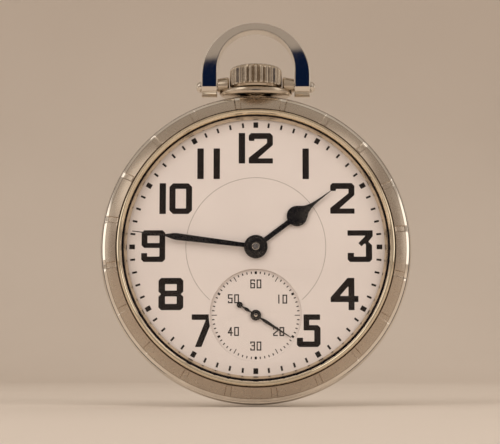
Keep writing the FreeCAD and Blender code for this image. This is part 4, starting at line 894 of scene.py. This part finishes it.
# Bold squared figures, each drawn from its lower left corner in millimetres.
FIGURES = {
    "0": [
        [(0.6, 0), (3.13, 0), (3.73, 0.6), (3.73, 4.5), (3.13, 5.1), (0.6, 5.1), (0, 4.5), (0, 0.6)],
        [(1, 0.92), (1, 4.18), (2.73, 4.18), (2.73, 0.92)],
    ],
    "1": [
        [(0, 0), (1.06, 0), (1.06, 5.12), (0, 5.12)],
    ],
    "2": [
        [
            (0, 0), (4, 0), (4, 0.86), (1.5, 0.86), (4, 3.1), (4, 4.62), (3.55, 5.1), (0.38, 5.1),
            (0, 4.7), (0, 4), (0.1, 3.78), (0.94, 3.78), (0.94, 4.12), (3.02, 4.12), (3.02, 3.4),
            (0, 0.95),
        ],
    ],
    "3": [
        [
            (0, 5.23), (4.14, 5.23), (4.14, 4.25), (3.42, 3.35), (4.02, 2.76), (4.02, 0.42), (3.6, 0),
            (0.4, 0), (0, 0.4), (0, 1.5), (1.04, 1.5), (1.04, 0.88), (3, 0.88), (3, 2.9), (2.82, 3.08),
            (2.3, 2.57), (1.77, 3.1), (2.98, 4.34), (0, 4.34),
        ],
    ],
    "4": [
        [
            (2.92, 0), (3.9, 0), (3.9, 1.32), (4.55, 1.32), (4.55, 2.32), (3.9, 2.32), (3.9, 5.28),
            (2.78, 5.28), (0, 2.1), (0, 1.32), (2.92, 1.32),
        ],
        [(1.5, 2.32), (2.92, 3.95), (2.92, 2.32)],
    ],
    "5": [
        [
            (0.35, 0), (3.42, 0), (3.86, 0.45), (3.86, 3.12), (3.42, 3.56), (2.02, 3.56), (2.02, 4.42),
            (3.8, 4.42), (3.8, 5.32), (1.1, 5.32), (1.1, 2.7), (2.84, 2.7), (2.84, 0.9), (1, 0.9),
            (1, 1.5), (0, 1.5), (0, 0.35),
        ],
    ],
    "7": [
        [(0.55, 0), (1.6, 0), (3.35, 4.3), (3.35, 5.32), (0, 5.32), (0, 4.42), (2.3, 4.42)],
    ],
    "8": [
        [
            (0.45, 0), (3.62, 0), (4.07, 0.45), (4.07, 2.2), (3.65, 2.62), (4.07, 3.04), (4.07, 4.83),
            (3.62, 5.28), (0.45, 5.28), (0, 4.83), (0, 3.04), (0.42, 2.62), (0, 2.2), (0, 0.45),
        ],
        [(1.08, 3.2), (1.08, 4.26), (2.99, 4.26), (2.99, 3.2)],
        [(1.08, 1.02), (1.08, 2.24), (2.99, 2.24), (2.99, 1.02)],
    ],
    "9": [
        [
            (0.4, 0), (3.5, 0), (3.93, 0.45), (3.93, 4.78), (3.5, 5.23), (0.48, 5.23), (0.04, 4.78),
            (0.04, 2.76), (0.48, 2.31), (2.98, 2.31), (2.98, 0.89), (0.97, 0.89), (0.97, 1.46),
            (0, 1.46), (0, 0.4),
        ],
        [(1, 3.12), (1, 4.34), (2.98, 4.34), (2.98, 3.12)],
    ],
}
# Each hour's text, the middle of its place on the dial, and the gap between its figures.
HOURS = [
    ("12", 0.0, 16.42, 0.60),
    ("1", 8.25, 13.82, 0.0),
    ("2", 14.27, 8.05, 0.0),
    ("3", 17.15, 0.13, 0.0),
    ("4", 14.52, -7.75, 0.0),
    ("5", 8.63, -13.74, 0.0),
    ("7", -8.80, -13.74, 0.0),
    ("8", -13.90, -7.75, 0.0),
    ("9", -16.85, 0.13, 0.0),
    ("10", -13.20, 8.00, 0.58),
    ("11", -7.80, 13.83, 1.62),
]
BESIDE_SECONDS = ("5", "7")
# Marks of the two tracks, as (length, width, distance of the middle from the centre).
ONE_MINUTE = (0.8, 0.33, 20.32)
FIVE_MINUTES = (0.92, 0.78, 20.32)
ONE_SECOND = (0.38, 0.17, 7.0)
FIVE_SECONDS = (0.85, 0.13, 6.80)
TEN_SECONDS = (0.44, 0.36, 6.98)
# Thin figures for the seconds, as pen strokes in a box one wide and one tall.
STROKES = {
    "0": [[(0, 0), (1, 0), (1, 1), (0, 1), (0, 0)]],
    "1": [[(0.6, 0), (0.6, 1)]],
    "2": [[(0, 0.82), (0, 1), (1, 1), (1, 0.58), (0, 0.2), (0, 0), (1, 0)]],
    "3": [[(0, 0.84), (0, 1), (1, 1), (1, 0), (0, 0), (0, 0.16)], [(0.35, 0.54), (1, 0.54)]],
    "4": [[(0.75, 0), (0.75, 1), (0, 0.32), (1.1, 0.32)]],
    "5": [[(1, 1), (0, 1), (0, 0.56), (1, 0.56), (1, 0), (0, 0), (0, 0.14)]],
    "6": [[(1, 0.86), (1, 1), (0, 1), (0, 0), (1, 0), (1, 0.54), (0, 0.54)]],
}
# Each number on the seconds dial, and the middle of its place from that dial's centre.
SECONDS = [
    ("60", 0.0, 5.14),
    ("10", 4.24, 2.64),
    ("20", 3.74, -2.67),
    ("30", 0.0, -5.03),
    ("40", -3.67, -2.65),
    ("50", -3.67, 2.70),
]


def figure_loops(text, x, z, gap):
    """The outlines of a number centred on a place, their corners a little rounded."""
    corner_r = 0.07
    widths = [max(p[0] for p in FIGURES[c][0]) for c in text]
    tall = max(p[1] for p in FIGURES[text[-1]][0])
    left = x - (sum(widths) + gap * (len(text) - 1)) / 2
    loops = []
    for figure, width in zip(text, widths):
        for loop in FIGURES[figure]:
            corners = [(left + a, z - tall / 2 + b, corner_r) for a, b in loop]
            loops.append([tuple(p) for p in filleted(corners, steps=2)])
        left += width + gap
    return loops


def make_dial():
    """The enamel, with holes for the hands and for the seconds dial, which is sunk behind it."""
    centre_hole, seconds_hole, gap = 1.3, 0.35, 0.02
    loops = [circle(DIAL_R, count=360), circle(centre_hole, count=72), circle(SUNK_R, SUNK_CENTRE, 240)]
    mesh = flat_mesh("enamel_dial", loops, DIAL_FACE - ENAMEL_THICK, DIAL_FACE, bevel=0.07)
    add_piece("enamel_dial", mesh, "case", ENAMEL, ["dial"])
    sunk_edge = SUNK_R + SUNK_UNDERLAP - gap
    loops = [circle(sunk_edge, SUNK_CENTRE, 240), circle(seconds_hole, SUNK_CENTRE, 48)]
    mesh = flat_mesh("sunk_seconds_dial", loops, SUNK_FACE - SUNK_THICK, SUNK_FACE, bevel=0.02)
    add_piece("sunk_seconds_dial", mesh, "case", ENAMEL, ["seconds_dial"])


def ink(name, loops, face, material=INK):
    """Printing that stands just proud of a face."""
    mesh = flat_mesh(name, loops, face - INK_THICK, face + INK_THICK)
    return add_piece(name, mesh, "case", material)


def trim_round(piece, radius):
    """Cuts a circle round the seconds dial out of a piece."""
    drawn = bmesh.new()
    bmesh.ops.create_cone(drawn, cap_ends=True, segments=160, radius1=radius, radius2=radius, depth=1.0)
    turn = Matrix.Rotation(math.pi / 2, 4, "X")
    bmesh.ops.transform(drawn, matrix=turn, verts=drawn.verts)
    bmesh.ops.translate(drawn, vec=(0, -DIAL_FACE, SUNK_Z), verts=drawn.verts)
    cutter = into_scene("cutter", tidy_mesh(drawn, "cutter"))
    trim = piece.modifiers.new("trim", "BOOLEAN")
    trim.operation = "DIFFERENCE"
    trim.solver = "EXACT"
    trim.object = cutter
    trimmed = mesh_of(piece)
    piece.modifiers.remove(trim)
    piece.data = trimmed
    bpy.data.objects.remove(cutter)


def make_hour_figures():
    """One piece for each hour. Those beside the seconds dial end at its edge."""
    round_edge = SUNK_R + 0.14
    for text, x, z, gap in HOURS:
        piece = ink(f"figure_{text}", figure_loops(text, x, z, gap), DIAL_FACE)
        if text in BESIDE_SECONDS:
            trim_round(piece, round_edge)


def make_tracks():
    marks = []
    for minute in range(60):
        mark = FIVE_MINUTES if minute % 5 == 0 else ONE_MINUTE
        marks.append(bar(*mark, minute * 6))
    ink("minute_track", marks, DIAL_FACE)

    marks = []
    for second in range(60):
        if second % 10 == 0:
            mark = TEN_SECONDS
        else:
            mark = FIVE_SECONDS if second % 5 == 0 else ONE_SECOND
        marks.append(bar(*mark, second * 6, SUNK_CENTRE))
    ink("seconds_track", marks, SUNK_FACE)


def make_seconds_figures():
    """Two figures to each number, every stroke of them a bar."""
    pen, wide, tall, gap = 0.19, 0.58, 1.28, 0.46
    bars = []
    for text, x, z in SECONDS:
        left = x - wide - gap / 2
        for figure in text:
            for stroke in STROKES[figure]:
                points = [(left + a * wide, SUNK_Z + z + (b - 0.5) * tall) for a, b in stroke]
                for (ax, az), (bx, bz) in zip(points, points[1:]):
                    length = math.hypot(bx - ax, bz - az)
                    bearing = math.degrees(math.atan2(bx - ax, bz - az))
                    centre = ((ax + bx) / 2, (az + bz) / 2)
                    bars.append(bar(length + pen, pen, 0, bearing, centre))
            left += wide + gap
    drawn = bmesh.new()
    for corners in bars:
        low = [drawn.verts.new((x, -SUNK_FACE + INK_THICK, z)) for x, z in corners]
        high = [drawn.verts.new((x, -SUNK_FACE - INK_THICK, z)) for x, z in corners]
        drawn.faces.new(high)
        drawn.faces.new(reversed(low))
        for n in range(4):
            drawn.faces.new((low[n - 1], low[n], high[n], high[n - 1]))
    add_piece("seconds_figures", drawn, "case", INK)


def make_dial_circle():
    """A thin circle round the dial's middle, broken by the seconds dial."""
    radius, pen = 11.5, 0.075
    clear = SUNK_R + 0.35
    bearings = []
    for bearing in even_bearings(720):
        x, z = at_bearing(radius, bearing)
        if math.hypot(x, z - SUNK_Z) > clear:
            bearings.append(bearing if bearing < 180 else bearing - 360)
    bearings.sort()
    outer = [at_bearing(radius + pen / 2, b) for b in bearings]
    inner = [at_bearing(radius - pen / 2, b) for b in reversed(bearings)]
    ink("dial_circle", [outer + inner], DIAL_FACE, GREY_INK)


# ---- hands ----

HOUR_BEARING = 53.2
MINUTE_BEARING = 277.1
SECONDS_BEARING = 122.4


def smooth_side(points, steps=8):
    """A smooth line through points of (half width, along), for one side of a hand."""
    found = []
    padded = [points[0], *points, points[-1]]
    for a, b, c, d in zip(padded, padded[1:], padded[2:], padded[3:]):
        for step in range(steps):
            t = step / steps
            weights = (
                (-t + 2 * t**2 - t**3) / 2,
                (2 - 5 * t**2 + 3 * t**3) / 2,
                (t + 4 * t**2 - 3 * t**3) / 2,
                (-(t**2) + t**3) / 2,
            )
            found.append(tuple(sum(w * p[k] for w, p in zip(weights, (a, b, c, d))) for k in (0, 1)))
    return [*found, points[-1]]


def both_sides(side):
    """A closed outline from one side of a hand and its mirror image."""
    return side + [(-x, z) for x, z in reversed(side)]


def make_hour_hand(bearing):
    """A straight arm, a round bulb and a long tip, with a ring round the centre."""
    low, high = depths("hour_hand")
    bulb, bulb_r = 8.45, 1.69
    first, last, steps = -76, 38, 12
    side = [(0.4, 1.6), (0.4, 6.2), (0.42, bulb - 1.72)]
    for step in range(steps + 1):
        angle = math.radians(first + step * (last - first) / steps)
        side.append((bulb_r * math.cos(angle), bulb + bulb_r * math.sin(angle)))
    tip = [side[-1], (0.72, 10.35), (0.36, 11.35), (0.19, 12.6), (0.05, 15.4)]
    side += smooth_side(tip)[1:]
    loops = [turned(both_sides(side), bearing)]
    mesh = flat_mesh("hour_blade", loops, low, high, bevel=0.03)
    add_piece("hour_blade", mesh, "hour", LACQUER, ["hour_hand"])
    loops = [circle(1.94, count=96), circle(1.0, count=48)]
    mesh = flat_mesh("hour_hub", loops, low - 0.02, high + 0.1, 0.09)
    add_piece("hour_hub", mesh, "hour", LACQUER)


def make_minute_hand(bearing):
    """An arm that widens as it goes out, then a thin tip, with a ring round the centre."""
    low = depths("minute_hand")[0]
    side = [(0.35, 1.2), (0.38, 3.0), (0.57, 13.0), (0.50, 13.7), (0.14, 15.1), (0.11, 15.4), (0.07, 20.4)]
    loops = [turned(both_sides(side), bearing)]
    mesh = flat_mesh("minute_blade", loops, low, low + 0.16, bevel=0.03)
    add_piece("minute_blade", mesh, "center", LACQUER, ["minute_hand"])
    loops = [circle(1.5, count=96), circle(0.62, count=48)]
    mesh = flat_mesh("minute_hub", loops, low - 0.02, low + 0.3, 0.1)
    add_piece("minute_hub", mesh, "center", LACQUER)


def make_arbor_tip():
    """The cannon pinion's bright end, with the centre arbor's hollow in its middle."""
    inner, outer = 0.46, 0.62
    low = depths("minute_hand")[0]
    high = depths("cannon_pinion")[1] + 0.02
    corners = [(inner, low, 0), (outer, low, 0), (outer, high, 0.08), (inner, high, 0.05)]
    outline = filleted(corners, steps=4)
    add_piece("cannon_tip", lathe(outline, even_bearings(64)), "center", STEEL)


def make_seconds_hand(bearing):
    """A thin leaf with a round tail, and a bright pin in its middle."""
    low, high = depths("seconds_hand")
    side = [(0.10, -2.75), (0.10, -2.5), (0.27, -1.75), (0.12, -1.0), (0.12, 0.8), (0.24, 1.6), (0.25, 2.2)]
    side = smooth_side(side, steps=6) + [(0.16, 4.4), (0.05, 6.8)]
    loops = [turned(both_sides(side), bearing, SUNK_CENTRE)]
    mesh = flat_mesh("seconds_blade", loops, low, high, bevel=0.02)
    add_piece("seconds_blade", mesh, "fourth", LACQUER, ["seconds_hand"])
    tail = turned([(0, -3.13)], bearing, SUNK_CENTRE)[0]
    mesh = flat_mesh("seconds_tail", [circle(0.5, tail, 48)], low - 0.01, high + 0.02, 0.03)
    add_piece("seconds_tail", mesh, "fourth", LACQUER)
    mesh = flat_mesh("seconds_hub", [circle(0.88, SUNK_CENTRE, 72)], low - 0.01, high + 0.1, 0.08)
    add_piece("seconds_hub", mesh, "fourth", LACQUER)
    outline = filleted([(0, high, 0), (0.3, high, 0), (0.3, high + 0.2, 0.08), (0, high + 0.22, 0)])
    drawn = lathe(outline, even_bearings(48))
    bmesh.ops.translate(drawn, vec=(0, 0, SUNK_Z), verts=drawn.verts)
    add_piece("seconds_pin", drawn, "fourth", STEEL)


# ---- floor, lights and camera ----


def make_floor():
    """A floor that sweeps up into a wall behind the watch."""
    gap, steps = 0.0002, 16
    half, front, bend, radius, tall = 2.0, -2.0, 0.55, 0.35, 2.0
    ground = cad_low.z - gap
    profile = [(front, ground), (bend, ground)]
    for step in range(1, steps + 1):
        turn = step / steps * math.pi / 2
        profile.append((bend + radius * math.sin(turn), ground + radius * (1 - math.cos(turn))))
    profile.append((bend + radius, tall))
    points = [(side * half, y, z) for y, z in profile for side in (-1, 1)]
    faces = [(2 * n, 2 * n + 1, 2 * n + 3, 2 * n + 2) for n in range(len(profile) - 1)]
    mesh = bpy.data.meshes.new("floor")
    mesh.from_pydata(points, [], faces)
    mesh.materials.append(pale_floor())
    mesh.shade_smooth()
    into_scene("floor", mesh)


# What the steel mirrors, as (height of the direction from -1 to 1, colour).
ROOM = [
    (-1.0, (0.16, 0.12, 0.09)),
    (-0.25, (0.24, 0.19, 0.15)),
    (0.15, (0.44, 0.37, 0.31)),
    (0.55, (0.42, 0.35, 0.29)),
    (1.0, (0.50, 0.43, 0.36)),
]
# A dark patch in front of the watch, in parts of a direction's length. Its top rises to the right.
SHADE_COLOUR = (0.004, 0.010, 0.035)
SHADE_HALF = 0.15
SHADE_TOP = 0.331
SHADE_LEAN = 0.10
SHADE_BOTTOM = -0.25
SHADE_SOFT = 0.002
# Bright panes, as (direction, half width in degrees, brightness). Their edges fade between two shares
# of the half width.
PANES = [
    ((-0.80, -0.30, 0.50), 13.0, 0.9),
    ((0.62, -0.30, 0.72), 10.0, 0.7),
    ((-0.45, -0.60, 0.66), 9.0, 2.6),
    ((0.70, -0.62, 0.35), 7.0, 2.0),
    ((0.95, 0.34, 0.10), 19.0, 2.0),
    ((-0.95, 0.34, 0.06), 19.0, 1.8),
]
PANE_EDGE = (1.25, 0.85)
PANE_COLOUR = (1.0, 0.93, 0.84)
BACKDROP_COLOUR = (0.52, 0.43, 0.35)


def make_world():
    """A soft beige room for the steel to mirror, where the camera sees a plain backdrop."""
    world = bpy.data.worlds.new("room")
    bpy.context.scene.world = world
    tree = NodeTree(world)
    direction = tree.add("TexCoord", "Generated")
    across, along, up = tree.add("SeparateXYZ", Vector=direction).node.outputs

    def between(value, low, high):
        """0 below low and 1 above high, or the other way round if low is the larger."""
        return tree.add("MapRange", Value=value, From_Min=low, From_Max=high)

    def times(first, second):
        return tree.math("MULTIPLY", first, second)

    stops = [((height + 1) / 2, colour) for height, colour in ROOM]
    lit = tree.ramp(between(up, -1.0, 1.0), stops)
    leaning = tree.math("SUBTRACT", up, times(across, SHADE_LEAN))
    sides = between(tree.math("ABSOLUTE", across), SHADE_HALF + SHADE_SOFT, SHADE_HALF - SHADE_SOFT)
    top = between(leaning, SHADE_TOP + SHADE_SOFT, SHADE_TOP - SHADE_SOFT)
    bottom = between(up, SHADE_BOTTOM - SHADE_SOFT, SHADE_BOTTOM + SHADE_SOFT)
    patch = times(times(times(sides, top), bottom), between(along, 0.0, -0.1))
    lit = tree.blend("MIX", patch, lit, SHADE_COLOUR)
    for towards, half, brightness in PANES:
        towards = Vector(towards).normalized()
        facing = tree.math("DOT_PRODUCT", direction, towards, kind="VectorMath")
        edges = [math.cos(math.radians(half * share)) for share in PANE_EDGE]
        lit = tree.blend("ADD", times(between(facing, *edges), brightness), lit, PANE_COLOUR)
    seen = tree.blend("MIX", tree.add("LightPath", "Is Camera Ray"), lit, BACKDROP_COLOUR)
    background = tree.nodes["Background"]
    tree.fill(background.inputs["Color"], seen)
    tree.fill(background.inputs["Strength"], 1.0)


# Each lamp's name, place, size, power in watts and colour.
LAMPS = [
    ("left_window", (-0.45, -0.45, 0.20), (0.30, 0.45), 1.42, (1.0, 0.93, 0.88)),
    ("right_window", (0.44, -0.44, 0.26), (0.28, 0.40), 1.08, (1.0, 0.92, 0.85)),
    ("top_light", (0.0, -0.42, 0.62), (0.4, 0.2), 0.6, (1.0, 0.94, 0.88)),
    ("back_light", (0.3, 0.45, 0.5), (0.4, 0.4), 0.6, (1.0, 0.94, 0.88)),
]


def add_light(name, place, size, power, colour):
    """A soft lamp that faces the watch and isn't mirrored in its steel."""
    light = bpy.data.lights.new(name, "AREA")
    light.shape = "RECTANGLE"
    light.size, light.size_y = size
    light.energy = power
    light.color = colour
    lamp = into_scene(name, light)
    lamp.visible_glossy = False
    lamp.location = place
    lamp.rotation_euler = (-Vector(place)).to_track_quat("-Z", "Y").to_euler()


# The camera stands a few degrees below the dial's normal. Its shifts are parts of the picture's width.
CAMERA_DISTANCE = 0.205
CAMERA_BELOW = 5.8
CAMERA_LENS = 89.829
CAMERA_SHIFT = (-0.0116, 0.0498)


def make_camera():
    """Looks at the middle of the dial, and shows it a little below the middle of the picture."""
    camera = bpy.data.cameras.new("camera")
    camera.sensor_width = 36.0
    camera.lens = CAMERA_LENS
    camera.clip_start = 0.01
    camera.clip_end = 20.0
    camera.shift_x, camera.shift_y = CAMERA_SHIFT
    lens = into_scene("camera", camera)
    target = Vector((0, -DIAL_FACE * MM, 0))
    tilt = math.radians(CAMERA_BELOW)
    away = Vector((0, -math.cos(tilt), -math.sin(tilt)))
    lens.location = target + away * CAMERA_DISTANCE
    lens.rotation_euler = (-away).to_track_quat("-Z", "Y").to_euler()
    bpy.context.scene.camera = lens


def main():
    paint_frame()
    make_bezel()
    make_case()
    make_back()
    make_crystal()
    make_crown()
    make_pendant()
    make_bow()
    make_bow_screws()
    make_dial()
    make_hour_figures()
    make_tracks()
    make_seconds_figures()
    make_dial_circle()
    make_hour_hand(HOUR_BEARING)
    make_minute_hand(MINUTE_BEARING)
    make_arbor_tip()
    make_seconds_hand(SECONDS_BEARING)
    make_floor()
    make_world()
    for lamp in LAMPS:
        add_light(*lamp)
    make_camera()
    bpy.context.scene.view_settings.view_transform = "Standard"


main()
